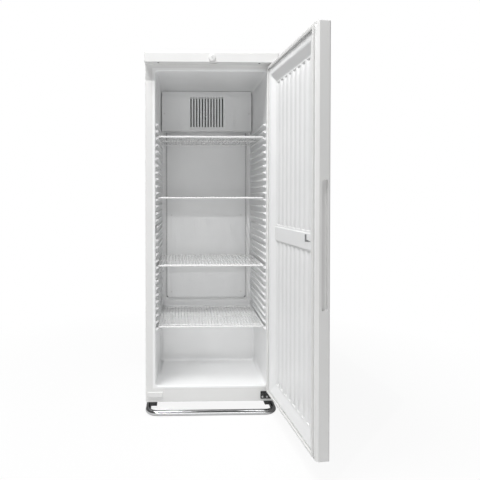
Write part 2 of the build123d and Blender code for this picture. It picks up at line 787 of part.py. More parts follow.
def drain_pipe():
    """The drain from the step's ledge down to the tray on the compressor."""
    outside = DRAIN_RADIUS - FREE_GAP
    tube = drain_hole(MACHINE_ROOF - DRAIN_DROP, STEP_TOP - SEAM, outside)
    return tube - drain_hole(MACHINE_ROOF - DRAIN_DROP - 1, STEP_TOP, outside - DRAIN_WALL)


def air_panel():
    """The flat panel over the cold plate, with a shallow fold across it."""
    front = ROOM_DEPTH
    back = ROOM_DEPTH + AIR_PANEL_THICK
    top = HOUSING_BOTTOM + AIR_PANEL_LAP
    panel = block(-AIR_PANEL_HALF, AIR_PANEL_HALF, front, back, AIR_PANEL_BOTTOM, top)
    low_edges = [edge for edge in panel.edges().filter_by(Axis.Y) if edge.center().Z < AIR_PANEL_BOTTOM + 1]
    panel = fillet(low_edges, AIR_PANEL_CORNER)
    fold_low = PANEL_FOLD_HEIGHT - PANEL_FOLD_WIDTH / 2
    fold_high = PANEL_FOLD_HEIGHT + PANEL_FOLD_WIDTH / 2
    panel = panel - block(-HALF, HALF, front - 1, front + PANEL_FOLD_SINK, fold_low, fold_high)
    for x, z in panel_stands():
        panel = panel + endwise(x, z, back - 0.5, RECESS_BACK, STAND_RADIUS)
    for x, z in panel_stands():
        panel = panel - endwise(x, z, front - 1, RECESS_BACK + 1, SCREW_RADIUS + PIN_FIT)
    return panel


def panel_stands():
    """Where the air panel stands on the back wall."""
    spots = []
    reach = AIR_PANEL_HALF - PANEL_STAND_INSET
    for x in (-reach, reach):
        for z in (AIR_PANEL_BOTTOM + PANEL_STAND_RAISE, (AIR_PANEL_BOTTOM + HOUSING_BOTTOM) / 2):
            spots.append((x, z))
    return spots


def pan_head_screw(x, z, head_depth, end_depth):
    """A pan-head screw driven straight back into the room's back wall."""
    head = endwise(x, z, head_depth - SCREW_HEAD_HEIGHT, head_depth, SCREW_HEAD_RADIUS)
    head = fillet(head.edges().sort_by(Axis.Y)[0:1], SCREW_HEAD_ROUND)
    return head + endwise(x, z, head_depth, end_depth, SCREW_RADIUS)


def back_wall_screws():
    """The screws of the air panel and of the fan housing."""
    screws = [pan_head_screw(x, z, ROOM_DEPTH, RECESS_BACK) for x, z in panel_stands()]
    for x, z in housing_screw_spots():
        screws.append(pan_head_screw(x, z, HOUSING_FRONT, ROOM_DEPTH - FREE_GAP))
    return group(screws)


def housing_outline(inset):
    """The front outline of the fan housing, drawn in a wall thickness by inset."""
    half = HOUSING_HALF - inset
    foot = HOUSING_BOTTOM + inset
    shoulder = HOUSING_TOP - inset
    crown = HOUSING_TOP + ARCH_RISE - inset
    slope = inset / 3
    points = [
        (-half, foot),
        (half, foot),
        (half, shoulder),
        (ARCH_HALF - slope, shoulder),
        (ARCH_FLAT_HALF - slope, crown),
        (-ARCH_FLAT_HALF + slope, crown),
        (-ARCH_HALF + slope, shoulder),
        (-half, shoulder),
    ]
    return points


def housing_block(inset, depth0, depth1):
    """A block of the housing's outline between two depths."""
    corners = [(x, FRONT + depth0, z) for x, z in housing_outline(inset)]
    return extrude(make_face(Polyline(corners, close=True)), amount=depth1 - depth0, dir=(0, 1, 0))


def housing_neck(inset, end):
    """The top of the housing, set back from its front, which closes it up to the ceiling."""
    half = HOUSING_HALF - inset
    front = HOUSING_FRONT + NECK_SET_BACK + inset
    low = HOUSING_TOP - 2 * HOUSING_WALL
    return block(-half, half, front, end, low, CEILING - HOUSING_TOP_GAP - inset)


def housing_boss():
    """The raised middle of the housing's front, bounded by two bulging curves."""
    depth = HOUSING_FRONT - BOSS_PROUD
    low = HOUSING_BOTTOM
    high = HOUSING_TOP + ARCH_RISE
    middle = (low + high) / 2
    y = FRONT + depth
    right = ThreePointArc((ARCH_HALF, y, low), (BOSS_BULGE_HALF, y, middle), (ARCH_HALF, y, high))
    left = ThreePointArc((-ARCH_HALF, y, high), (-BOSS_BULGE_HALF, y, middle), (-ARCH_HALF, y, low))
    foot = Line((-ARCH_HALF, y, low), (ARCH_HALF, y, low))
    head = Line((ARCH_HALF, y, high), (-ARCH_HALF, y, high))
    outline = make_face([foot, right, head, left])
    boss = extrude(outline, amount=BOSS_PROUD + 0.5, dir=(0, 1, 0))
    return boss & housing_block(0, depth, HOUSING_FRONT + 1)


def fan_housing():
    """The moulded housing across the top of the back wall, slotted in the middle."""
    solid = housing_block(0, HOUSING_FRONT, ROOM_DEPTH) + housing_neck(0, ROOM_DEPTH)
    hollow = housing_block(HOUSING_WALL, HOUSING_FRONT + HOUSING_WALL, ROOM_DEPTH + 1)
    hollow = hollow + housing_neck(HOUSING_WALL, ROOM_DEPTH + 1)
    shell = solid + housing_boss() - hollow - duct_mouth()
    for slot in housing_slots():
        shell = shell - slot
    for x, z in housing_screw_spots():
        shell = shell + endwise(x, z, HOUSING_FRONT + 1, ROOM_DEPTH, STAND_RADIUS)
        shell = shell - endwise(x, z, HOUSING_FRONT - 1, ROOM_DEPTH + 1, SCREW_RADIUS + PIN_FIT)
    return shell & room(-FREE_GAP)


def duct_mouth():
    """The opening in the housing's floor, over the gap behind the air panel."""
    half = AIR_PANEL_HALF - DUCT_SIDE
    return block(-half, half, ROOM_DEPTH - DUCT_DEEP, ROOM_DEPTH + 1, HOUSING_BOTTOM - 1, HOUSING_BOTTOM + 5)


def housing_slots():
    """The round-ended upright slots in front of the fan."""
    slots = []
    for number in range(SLOT_COUNT):
        x = (number - (SLOT_COUNT - 1) / 2) * SLOT_PITCH
        outline = SlotOverall(SLOT_TOP - SLOT_BOTTOM, SLOT_WIDTH)
        place = Pos(x, FRONT + HOUSING_FRONT - 10, (SLOT_BOTTOM + SLOT_TOP) / 2)
        slots.append(extrude(place * Rot(90, 0, 0) * Rot(0, 0, 90) * outline, amount=20, dir=(0, 1, 0)))
    return slots


def housing_screw_spots():
    """Where screws hold the housing to the back wall."""
    reach = HOUSING_HALF - HOUSING_SCREW_INSET
    return [(x, HOUSING_BOTTOM + HOUSING_SCREW_RAISE) for x in (-reach, reach)]


def fan_back():
    """The depth of the fan hub's rear face."""
    return FAN_DEPTH + FAN_HUB_LENGTH


def fan_bracket():
    """The folded steel strip with a disc that holds the motor behind the grille."""
    z = FAN_CENTRE_HEIGHT
    low = z - BRACKET_ARM_WIDTH / 2
    high = z + BRACKET_ARM_WIDTH / 2
    front = fan_back() + FAN_REAR_GAP
    half = BRACKET_ARM_HALF
    arms = block(-half, half, front, front + PLATE, low, high)
    leg = block(half - BRACKET_LEG_THICK, half, front, RECESS_BACK, low, high)
    foot_start = half - BRACKET_LEG_THICK
    foot = block(foot_start, half + BRACKET_FOOT, RECESS_BACK - PLATE, RECESS_BACK, low, high)
    disc = endwise(0, z, front, front + PLATE, MOTOR_RADIUS + BRACKET_DISC_RIM)
    bracket = arms + leg + mirrored(leg) + foot + mirrored(foot) + disc
    return bracket - endwise(0, z, front - 1, front + PLATE + 1, MOTOR_NOSE_RADIUS + NOSE_ROOM)


def fan_motor():
    """The round fan motor with its shaft."""
    z = FAN_CENTRE_HEIGHT
    front = fan_back() + FAN_REAR_GAP + PLATE
    can = endwise(0, z, front, front + MOTOR_LENGTH, MOTOR_RADIUS)
    can = fillet(can.edges().sort_by(Axis.Y)[-1:], MOTOR_ROUND)
    nose = endwise(0, z, fan_back() + FAN_REAR_GAP / 2, front + 1, MOTOR_NOSE_RADIUS)
    shaft = endwise(0, z, FAN_DEPTH + FAN_SHAFT_SINK, front + 1, FAN_SHAFT_RADIUS)
    return can + nose + shaft


def fan_blades():
    """The hub and twisted blades, which turn on the motor's shaft."""
    z = FAN_CENTRE_HEIGHT
    hub = endwise(0, z, FAN_DEPTH, fan_back(), FAN_HUB_RADIUS)
    hub = fillet(hub.edges().sort_by(Axis.Y)[0:1], FAN_HUB_ROUND)
    rotor = hub
    root = FAN_HUB_RADIUS - BLADE_ROOT
    reach = FAN_RADIUS - root
    for number in range(FAN_BLADES):
        blade = extrude(RectangleRounded(BLADE_WIDTH, reach, BLADE_ROUND), amount=BLADE_HALF_THICK, both=True)
        blade = Pos(0, root + reach / 2, 0) * Rot(0, BLADE_TWIST, 0) * blade
        turned = Rot(90, 0, 0) * Rot(0, 0, number * 360 / FAN_BLADES) * blade
        placed = Pos(0, FRONT + (FAN_DEPTH + fan_back()) / 2, z) * turned
        rotor = rotor + placed
    limit = endwise(0, z, FAN_DEPTH, fan_back(), FAN_RADIUS)
    rotor = rotor & limit
    bore_end = FAN_DEPTH + FAN_SHAFT_SINK - FREE_GAP
    return rotor - endwise(0, z, bore_end, fan_back() + 1, FAN_SHAFT_RADIUS + PIN_FIT)


def thermostat():
    """The thermostat box beside the fan, behind the housing."""
    x0 = THERMOSTAT_X - THERMOSTAT_WIDTH / 2
    x1 = THERMOSTAT_X + THERMOSTAT_WIDTH / 2
    middle = HOUSING_BOTTOM + THERMOSTAT_RAISE
    front = RECESS_BACK - THERMOSTAT_DEEP
    box = block(x0, x1, front, RECESS_BACK, middle - THERMOSTAT_HEIGHT / 2, middle + THERMOSTAT_HEIGHT / 2)
    box = fillet(box.edges().filter_by(Axis.Y), THERMOSTAT_ROUND)
    return box + endwise(THERMOSTAT_X, middle, front - SPINDLE_LENGTH, front + 1, SPINDLE_RADIUS)


def evaporator():
    """The aluminium cold plate with its channel, fixed behind the room's back wall."""
    half = EVAPORATOR_HALF
    back = LINER_BACK + EVAPORATOR_SHEET
    plate = block(-half, half, LINER_BACK, back, EVAPORATOR_BOTTOM, EVAPORATOR_TOP)
    bottom = EVAPORATOR_BOTTOM + EVAPORATOR_MARGIN
    top = EVAPORATOR_TOP - EVAPORATOR_MARGIN
    path = serpentine(half - EVAPORATOR_MARGIN, EVAPORATOR_TUBE_DEPTH, bottom, top, EVAPORATOR_RUNS)
    return plate + tube_along(path, EVAPORATOR_TUBE)


def serpentine(half, depth, bottom, top, runs):
    """A to-and-fro path with half-round turns, in a plane of one depth."""
    pitch = (top - bottom) / (runs - 1)
    y = FRONT + depth
    points = []
    for number in range(runs):
        z = bottom + number * pitch
        ends = (-half, half) if number % 2 == 0 else (half, -half)
        points.append((ends[0], y, z))
        points.append((ends[1], y, z))
    return FilletPolyline(*points, radius=pitch / 2 - 0.5)


def tube_along(path, radius):
    """A round rod swept along a path of lines and arcs."""
    start = Plane(origin=path @ 0, z_dir=path % 0)
    return sweep(start * Circle(radius), path=path)


def condenser(radius):
    """The serpentine tube on the back, between its wires."""
    path = serpentine(CONDENSER_HALF, CONDENSER_DEPTH, CONDENSER_BOTTOM, CONDENSER_TOP, CONDENSER_RUNS)
    return tube_along(path, radius)


def condenser_wires():
    """The upright wires on both sides of the serpentine tube."""
    wires = []
    count = int((2 * CONDENSER_HALF - 2 * WIRE_MARGIN) / WIRE_PITCH) + 1
    reach = CONDENSER_RADIUS + WIRE_RADIUS + WELD_GAP
    low = CONDENSER_BOTTOM - WIRE_OVERHANG
    high = CONDENSER_TOP + WIRE_OVERHANG
    for number in range(count):
        x = (number - (count - 1) / 2) * WIRE_PITCH
        for depth in (CONDENSER_DEPTH - reach, CONDENSER_DEPTH + reach):
            wires.append(upright(x, depth, low, high, WIRE_RADIUS))
    return group(wires)


def condenser_clips():
    """Four snap clips on the rear sheet, which hold the condenser by bends of its tube."""
    clips = []
    tube = condenser(CONDENSER_RADIUS + PIN_FIT)
    size = CLIP_HALF_SIZE
    for bend in (0, 1, CONDENSER_RUNS - 3, CONDENSER_RUNS - 2):
        x = CONDENSER_HALF if bend % 2 == 0 else -CONDENSER_HALF
        z = CONDENSER_BOTTOM + (bend + 0.5) * CONDENSER_PITCH
        back = CONDENSER_DEPTH + CLIP_LIP
        pad = block(x - size, x + size, REAR_DEPTH, back, z - size, z + size)
        pad = fillet(pad.edges().filter_by(Axis.Y), CLIP_ROUND)
        half_mouth = CLIP_MOUTH / 2
        mouth = block(x - half_mouth, x + half_mouth, CONDENSER_DEPTH, back + 1, z - size - 1, z + size + 1)
        clips.append(pad - tube - mouth)
    return group(clips)


def compressor():
    """The sealed pot of the compressor with its feet."""
    low = POT_LOW
    depth = POT_DEPTH
    middle = Pos(COMPRESSOR_OFFSET, FRONT + depth, low)
    outline = RectangleRounded(COMPRESSOR_LENGTH, COMPRESSOR_WIDTH, COMPRESSOR_WIDTH / 2 - 1)
    pot = extrude(middle * outline, amount=COMPRESSOR_HEIGHT)
    pot = fillet(pot.edges().filter_by(Plane.XY), COMPRESSOR_ROUND)
    seam_length = COMPRESSOR_LENGTH + 2 * COMPRESSOR_SEAM
    seam_width = COMPRESSOR_WIDTH + 2 * COMPRESSOR_SEAM
    seam_line = RectangleRounded(seam_length, seam_width, seam_width / 2 - 1)
    seam_height = COMPRESSOR_HEIGHT * COMPRESSOR_SEAM_SHARE
    pot = pot + extrude(Pos(0, 0, seam_height) * middle * seam_line, amount=COMPRESSOR_SEAM)
    for x, foot_depth in compressor_feet():
        ends = (x - FOOT_HALF_LENGTH, x + FOOT_HALF_LENGTH)
        sides = (foot_depth - FOOT_HALF_WIDTH, foot_depth + FOOT_HALF_WIDTH)
        pot = pot + block(*ends, *sides, low, low + FOOT_THICK)
        inward = 1 if x < COMPRESSOR_OFFSET else -1
        reach = sorted((x, x + inward * FOOT_ARM_LENGTH))
        sides = (foot_depth - FOOT_ARM_HALF, foot_depth + FOOT_ARM_HALF)
        pot = pot + block(*reach, *sides, low, low + FOOT_THICK)
    base_half = FEET_LENGTH / 2 - BASE_END_GAP
    base_x = (COMPRESSOR_OFFSET - base_half, COMPRESSOR_OFFSET + base_half)
    base_reach = FEET_WIDTH / 2 + BASE_OVERHANG
    pot = pot + block(*base_x, depth - base_reach, depth + base_reach, low, low + BASE_HEIGHT)
    for x, foot_depth in compressor_feet():
        pot = pot - upright(x, foot_depth, low - 1, low + FOOT_THICK + 1, MOUNT_STEM)
    stub = (POT_END - STUB_SINK, POT_END + STUB)
    pot = pot - crosswise(*stub, depth, DISCHARGE_HEIGHT, CONDENSER_RADIUS + PIN_FIT)
    return pot - crosswise(*stub, depth - STUB_GAP, SUCTION_HEIGHT, PIPE_RADIUS + PIN_FIT)


def compressor_feet():
    """The four places where the compressor stands on its mounts."""
    spots = []
    for x in (COMPRESSOR_OFFSET - FEET_LENGTH / 2, COMPRESSOR_OFFSET + FEET_LENGTH / 2):
        for depth in (POT_DEPTH - FEET_WIDTH / 2, POT_DEPTH + FEET_WIDTH / 2):
            spots.append((x, depth))
    return spots


def compressor_mounts():
    """Rubber mounts between the machine floor and the compressor's feet."""
    mounts = []
    foot_top = POT_LOW + FOOT_THICK
    for x, depth in compressor_feet():
        body = upright(x, depth, BODY_BOTTOM + PLATE, POT_LOW, MOUNT_RADIUS)
        stem = upright(x, depth, BODY_BOTTOM, foot_top, MOUNT_STEM - PIN_FIT)
        cap = upright(x, depth, foot_top, foot_top + MOUNT_CAP_HEIGHT, MOUNT_CAP_RADIUS)
        mounts.append(body + stem + cap)
    return group(mounts)


def terminal_box():
    """The cover over the compressor's terminals and starter."""
    side = COMPRESSOR_OFFSET + COMPRESSOR_LENGTH / 2 + COMPRESSOR_SEAM
    front = POT_DEPTH - TERMINAL_WIDTH / 2
    low = POT_LOW + TERMINAL_RAISE
    box = block(side, side + TERMINAL_LENGTH, front, front + TERMINAL_WIDTH, low, low + TERMINAL_HEIGHT)
    return fillet(box.edges().filter_by(Axis.X), TERMINAL_ROUND)


def evaporating_tray():
    """The open tray over the compressor where the thawed water dries."""
    low = POT_TOP + FREE_GAP
    x = TRAY_LENGTH / 2
    reach = TRAY_WIDTH / 2
    outer = block(-x, x, POT_DEPTH - reach, POT_DEPTH + reach, low, low + TRAY_HEIGHT)
    outer = fillet(outer.edges().filter_by(Axis.Z), TRAY_CORNER)
    x = x - TRAY_WALL
    reach = reach - TRAY_WALL
    inner = block(-x, x, POT_DEPTH - reach, POT_DEPTH + reach, low + TRAY_WALL, low + TRAY_HEIGHT + 1)
    inner = fillet(inner.edges().filter_by(Axis.Z), TRAY_CORNER - TRAY_WALL)
    return outer - inner


def filter_drier():
    """The copper drier under the condenser's lower end, with its inlet and its thin capillary."""
    x = -CONDENSER_HALF - DRIER_OUT
    back = FRONT + CONDENSER_DEPTH
    top = CONDENSER_BOTTOM - DRIER_DROP
    low = top - DRIER_LENGTH
    body = Pos(x, back, (low + top) / 2) * Cylinder(DRIER_RADIUS, DRIER_LENGTH)
    body = fillet(body.edges().filter_by(GeomType.CIRCLE), DRIER_RADIUS * 2 / 3)
    inlet = [
        (x, back, top - 1),
        (x, back, CONDENSER_BOTTOM),
        (-CONDENSER_HALF, back, CONDENSER_BOTTOM),
    ]
    height = low - CAPILLARY_DROP
    suction_y = FRONT + EVAPORATOR_TUBE_DEPTH
    away = math.hypot(SUCTION_X - x, suction_y - back)
    stop = (away - PIPE_RADIUS - WELD_GAP) / away
    outlet = [
        (x, back, low + 1),
        (x, back, height),
        (x + stop * (SUCTION_X - x), back + stop * (suction_y - back), height),
    ]
    drier = body + tube_along(FilletPolyline(*inlet, radius=PIPE_BEND), CONDENSER_RADIUS)
    return drier + tube_along(FilletPolyline(*outlet, radius=PIPE_BEND), CAPILLARY_RADIUS)


def discharge_pipe():
    """The pipe from the compressor up the back to the condenser's upper end."""
    start_x = POT_END + STUB
    turn_x = POT_END - DISCHARGE_OUT
    riser_x = -HALF + RISER_INSET
    back = FRONT + CONDENSER_DEPTH
    points = [
        (start_x, FRONT + POT_DEPTH, DISCHARGE_HEIGHT),
        (turn_x, FRONT + POT_DEPTH, DISCHARGE_HEIGHT),
        (turn_x, back, DISCHARGE_HEIGHT),
        (riser_x, back, DISCHARGE_HEIGHT),
        (riser_x, back, CONDENSER_TOP),
        (-CONDENSER_HALF, back, CONDENSER_TOP),
    ]
    return tube_along(FilletPolyline(*points, radius=PIPE_BEND), CONDENSER_RADIUS)


def suction_pipe():
    """The pipe from the cold plate's channel through the foam to the compressor."""
    y = FRONT + EVAPORATOR_TUBE_DEPTH
    top = EVAPORATOR_BOTTOM + EVAPORATOR_MARGIN
    end_y = FRONT + POT_DEPTH - STUB_GAP
    points = [
        (-EVAPORATOR_HALF + EVAPORATOR_MARGIN, y, top),
        (SUCTION_X, y, top),
        (SUCTION_X, y, SUCTION_HEIGHT),
        (SUCTION_X + SUCTION_SLANT, end_y, SUCTION_HEIGHT),
        (POT_END + STUB, end_y, SUCTION_HEIGHT),
    ]
    return tube_along(FilletPolyline(*points, radius=PIPE_BEND), PIPE_RADIUS)


def mains_gland():
    """The cord's gland, clamped in the tab of the machine floor."""
    back = INLET_DEPTH + PLATE
    gland = endwise(INLET_X, INLET_HEIGHT, INLET_DEPTH - GLAND_FRONT, INLET_DEPTH, GLAND_RADIUS + GLAND_FLANGE)
    gland = gland + endwise(INLET_X, INLET_HEIGHT, back, back + GLAND_BACK, GLAND_RADIUS + GLAND_NUT)
    gland = gland + endwise(INLET_X, INLET_HEIGHT, INLET_DEPTH - 1, back + 1, GLAND_RADIUS - PIN_FIT)
    ends = (INLET_DEPTH - GLAND_FRONT - 1, back + GLAND_BACK + 1)
    return gland - endwise(INLET_X, INLET_HEIGHT, *ends, GLAND_BORE)


def top_cover():
    """The moulded cover on the cabinet, whose front is the fascia over the door."""
    outer = block(-HALF, HALF, -FASCIA_PROUD, CABINET_DEPTH, SHELL_TOP, TOTAL_HEIGHT)
    outer = outer + block(-HALF, HALF, -FASCIA_PROUD, -SEAM, FASCIA_BOTTOM, TOTAL_HEIGHT)
    rounds = []
    for edge in outer.edges():
        place = edge.center()
        at_front = abs(place.Y - FRONT + FASCIA_PROUD) < 0.01
        at_top = abs(place.Z - TOTAL_HEIGHT) < 0.01
        if at_top or (at_front and abs(place.X) > 1):
            rounds.append(edge)
    outer = fillet(rounds, COVER_ROUND)
    half = HALF - COVER_WALL
    front = -FASCIA_PROUD + COVER_WALL
    back = CABINET_DEPTH - COVER_WALL
    hollow = block(-half, half, front, back, SHELL_TOP - 1, COVER_INSIDE_TOP)
    fascia_low = FASCIA_BOTTOM + COVER_WALL
    hollow = hollow & block(-HALF, HALF, front, back, SHELL_TOP, TOTAL_HEIGHT)
    hollow = hollow + block(-half, half, front, -SEAM - COVER_WALL, fascia_low, COVER_INSIDE_TOP)
    cover = outer - hollow
    cover = cover - block(-half, half, -SEAM, back, SHELL_TOP - 1, SHELL_TOP + 5)
    floor = (FASCIA_BOTTOM - 1, fascia_low + 1)
    for x in (-PIN_X, PIN_X):
        cover = cover - upright(x, PIN_Y - FRONT, *floor, PIN_RADIUS + PIN_HEAD_RIM)
    for x in cover_screw_spots():
        cover = cover - upright(x, COVER_SCREW_DEPTH, *floor, SCREW_RADIUS + PIN_FIT)
    cam_front = CAM_DEPTH - CAM_THICK / 2 - CAM_ROOM
    cam_back = CAM_DEPTH + CAM_THICK / 2 + CAM_ROOM
    cover = cover - block(-CAM_WIDTH / 2 - CAM_ROOM, cam_reach(fascia_low), cam_front, cam_back, *floor)
    return cover - endwise(0, LOCK_HEIGHT, -FASCIA_PROUD - 1, front + 1, BARREL_RADIUS + SLEEVE_WALL)


def cam_reach(height):
    """How far sideways the turning cam still reaches below a height, with room to spare."""
    drop = LOCK_HEIGHT - height
    return math.sqrt(CAM_LENGTH ** 2 - drop ** 2) + CAM_ROOM


def cover_screw_spots():
    """Where screws come up into the fascia from below."""
    return (-HALF + COVER_SCREW_LEFT, HALF - COVER_SCREW_RIGHT)


def cover_screws():
    """The low-headed screws in the fascia's underside."""
    screws = []
    under = FASCIA_BOTTOM - PIN_FIT
    for x in cover_screw_spots():
        shank = upright(x, COVER_SCREW_DEPTH, under - 0.5, FASCIA_BOTTOM + COVER_SCREW_LENGTH, SCREW_RADIUS)
        head_low = under - COVER_SCREW_HEAD_HEIGHT
        screws.append(shank + upright(x, COVER_SCREW_DEPTH, head_low, under, COVER_SCREW_HEAD))
    return group(screws)


def lock_bezel():
    """The round trim ring of the lock."""
    ring = endwise(0, LOCK_HEIGHT, -FASCIA_PROUD - BEZEL_PROUD, -FASCIA_PROUD, BEZEL_RADIUS)
    ring = fillet(ring.edges().sort_by(Axis.Y)[0:1], BEZEL_ROUND)
    sleeve_end = -FASCIA_PROUD + COVER_WALL + BEZEL_SLEEVE
    sleeve = BARREL_RADIUS + SLEEVE_WALL - PIN_FIT
    ring = ring + endwise(0, LOCK_HEIGHT, -FASCIA_PROUD - 0.5, sleeve_end, sleeve)
    return ring - endwise(0, LOCK_HEIGHT, -FASCIA_PROUD - 10, sleeve_end + 1, BARREL_RADIUS + PIN_FIT)


def lock_barrel():
    """The barrel that the key turns, with the cam that drops into the door."""
    front = -FASCIA_PROUD - BARREL_PROUD
    cam_front = CAM_DEPTH - CAM_THICK / 2
    barrel = endwise(0, LOCK_HEIGHT, front, cam_front, BARREL_RADIUS)
    barrel = fillet(barrel.edges().sort_by(Axis.Y)[0:1], BARREL_ROUND)
    keyway_low = LOCK_HEIGHT - KEYWAY_HALF_HEIGHT
    keyway_high = LOCK_HEIGHT + KEYWAY_HALF_HEIGHT
    half = KEYWAY_HALF_WIDTH
    barrel = barrel - block(-half, half, front - 1, front + KEYWAY_DEEP, keyway_low, keyway_high)
    low = LOCK_HEIGHT - CAM_WIDTH / 2
    arm = block(0, CAM_LENGTH, cam_front, cam_front + CAM_THICK, low, low + CAM_WIDTH)
    tip = [edge for edge in arm.edges().filter_by(Axis.Y) if edge.center().X > 1]
    arm = fillet(tip, CAM_TIP_ROUND)
    boss = endwise(0, LOCK_HEIGHT, cam_front - 1, cam_front + CAM_THICK, CAM_BOSS_RADIUS)
    return barrel + arm + boss


def upper_bracket_screws():
    """Where the upper hinge bracket is screwed to the cabinet's top, by inset from the pin and depth."""
    return [(PIN_X - inset, depth) for inset, depth in UPPER_SCREW_SPOTS]


def upper_hinge_bracket():
    """The steel plate under the cover that holds the upper pin."""
    top = SHELL_TOP + HINGE_PLATE
    left = PIN_X - UPPER_PLATE_REACH
    right = HALF - COVER_WALL - UPPER_PLATE_SIDE_GAP
    front = PIN_Y - FRONT - UPPER_PLATE_NOSE
    plate = block(left, right, front, UPPER_PLATE_BACK, SHELL_TOP, top)
    plate = fillet(plate.edges().filter_by(Axis.Z), UPPER_PLATE_ROUND)
    plate = plate - upright(PIN_X, PIN_Y - FRONT, SHELL_TOP - 1, top + 1, PIN_RADIUS + PIN_FIT)
    for x, depth in upper_bracket_screws():
        plate = plate - upright(x, depth, SHELL_TOP - 1, top + 1, SCREW_RADIUS + PIN_FIT)
    return plate


def upper_hinge_pin():
    """The stepped pin that drops into the door's top cap."""
    depth = PIN_Y - FRONT
    top = SHELL_TOP + HINGE_PLATE
    pin = upright(PIN_X, depth, DOOR_TOP - DOOR_CAP + PIN_END_GAP, top + 1, PIN_RADIUS)
    pin = chamfer(pin.edges().sort_by(Axis.Z)[0:1], PIN_CHAMFER)
    return pin + upright(PIN_X, depth, top, top + PIN_HEAD_HEIGHT, PIN_RADIUS + PIN_HEAD_RIM)


def hinge_screws():
    """The screws of both hinge brackets."""
    screws = []
    top = SHELL_TOP + HINGE_PLATE
    for x, depth in upper_bracket_screws():
        shank = upright(x, depth, SHELL_TOP - SHEET, top, SCREW_RADIUS)
        screws.append(shank + upright(x, depth, top, top + UPPER_SCREW_HEAD, SCREW_HEAD_RADIUS))
    for x, z in lower_bracket_screws():
        shank = endwise(x, z, -HINGE_PLATE, LINER_WALL, SCREW_RADIUS)
        head = endwise(x, z, -HINGE_PLATE - LOWER_SCREW_HEAD, -HINGE_PLATE, SCREW_HEAD_RADIUS)
        screws.append(shank + fillet(head.edges().sort_by(Axis.Y)[0:1], SCREW_HEAD_ROUND))
    return group(screws)


def lower_bracket_screws():
    """Where the lower hinge bracket is screwed to the base panel."""
    z = LOWER_PLATE_BOTTOM + LOWER_SCREW_RAISE
    return [(LOWER_PLATE_LEFT + inset, z) for inset in LOWER_SCREW_INSETS]


def lower_hinge_bracket():
    """The dark steel bracket under the door, with its tongue for the pin."""
    right = HALF - LOWER_PLATE_INSET
    plate = block(LOWER_PLATE_LEFT, right, -HINGE_PLATE, 0, LOWER_PLATE_BOTTOM, LOWER_PLATE_TOP)
    plate = fillet(plate.edges().filter_by(Axis.Y), LOWER_PLATE_ROUND)
    swing = DOOR_BOTTOM - SWING_GAP
    plate = plate - block(PIN_X - PIN_INSET, HALF, -HINGE_PLATE - 1, 1, swing, LOWER_PLATE_TOP + 1)
    tongue_low = LOWER_TONGUE_TOP - HINGE_PLATE
    front = PIN_Y - FRONT - TONGUE_NOSE
    ends = (PIN_X - TONGUE_SIDE, right - TONGUE_EDGE_GAP)
    tongue = block(*ends, front, -1, tongue_low, LOWER_TONGUE_TOP)
    corners = [edge for edge in tongue.edges().filter_by(Axis.Z) if edge.center().Y < FRONT + front + 1]
    tongue = fillet(corners, TONGUE_ROUND)
    side = [
        (-HINGE_PLATE + 0.5, LOWER_PLATE_BOTTOM + WEB_RAISE),
        (front + TONGUE_NOSE, tongue_low + 0.5),
        (-HINGE_PLATE + 0.5, tongue_low + 0.5),
    ]
    web = prism_along_x(side, PIN_X - WEB_OFFSET, PIN_X - WEB_OFFSET + WEB_THICK)
    bore = upright(PIN_X, PIN_Y - FRONT, tongue_low - 1, LOWER_TONGUE_TOP + 1, PIN_RADIUS + PIN_FIT)
    bracket = plate + tongue + web - bore
    for x, z in lower_bracket_screws():
        bracket = bracket - endwise(x, z, -HINGE_PLATE - 1, 1, SCREW_RADIUS + PIN_FIT)
    return bracket


def lower_hinge_pin():
    """The pin that carries the door's weight."""
    depth = PIN_Y - FRONT
    tongue_low = LOWER_TONGUE_TOP - HINGE_PLATE
    pin = upright(PIN_X, depth, tongue_low - 1, DOOR_BOTTOM + DOOR_CAP - PIN_END_GAP, PIN_RADIUS)
    pin = chamfer(pin.edges().sort_by(Axis.Z)[-1:], PIN_CHAMFER)
    return pin + upright(PIN_X, depth, tongue_low - LOWER_HEAD_HEIGHT, tongue_low, PIN_RADIUS + LOWER_HEAD_RIM)


def left_hinge_cover():
    """The white cover over the spare hinge place on the left."""
    left = -HALF + SPARE_COVER_INSET
    low = BODY_BOTTOM + SPARE_COVER_RAISE
    cover = block(left, left + SPARE_COVER_WIDTH, -SPARE_COVER_PROUD, 0, low, low + SPARE_COVER_HEIGHT)
    front_edges = [edge for edge in cover.edges() if edge.center().Y < FRONT - SPARE_COVER_PROUD + 0.1]
    return fillet(front_edges, SPARE_COVER_ROUND)


def foot_bar():
    """The chromed tube that lies on the floor as the cabinet's front foot."""
    path = foot_bar_path()
    start = Plane(origin=path @ 0, z_dir=path % 0)
    ring = Circle(BAR_RADIUS) - Circle(BAR_RADIUS - BAR_WALL)
    bar = sweep(start * ring, path=path)
    for x, depth in bar_bolt_spots():
        bar = bar - upright(x, depth, BAR_RADIUS, 2 * BAR_RADIUS + 1, BAR_BOLT_RADIUS + PIN_FIT)
    return bar


def foot_bar_path():
    """The U path of the foot bar's centre line."""
    points = [
        (-BAR_HALF, FRONT + BAR_BACK, BAR_RADIUS),
        (-BAR_HALF, FRONT + BAR_FRONT, BAR_RADIUS),
        (BAR_HALF, FRONT + BAR_FRONT, BAR_RADIUS),
        (BAR_HALF, FRONT + BAR_BACK, BAR_RADIUS),
    ]
    return FilletPolyline(*points, radius=BAR_BEND)


def bar_bolt_spots():
    """Where the foot bar is bolted up to its brackets."""
    depth = (ARM_FRONT + BRACKET_BACK) / 2
    return [(-BAR_HALF, depth), (BAR_HALF, depth)]


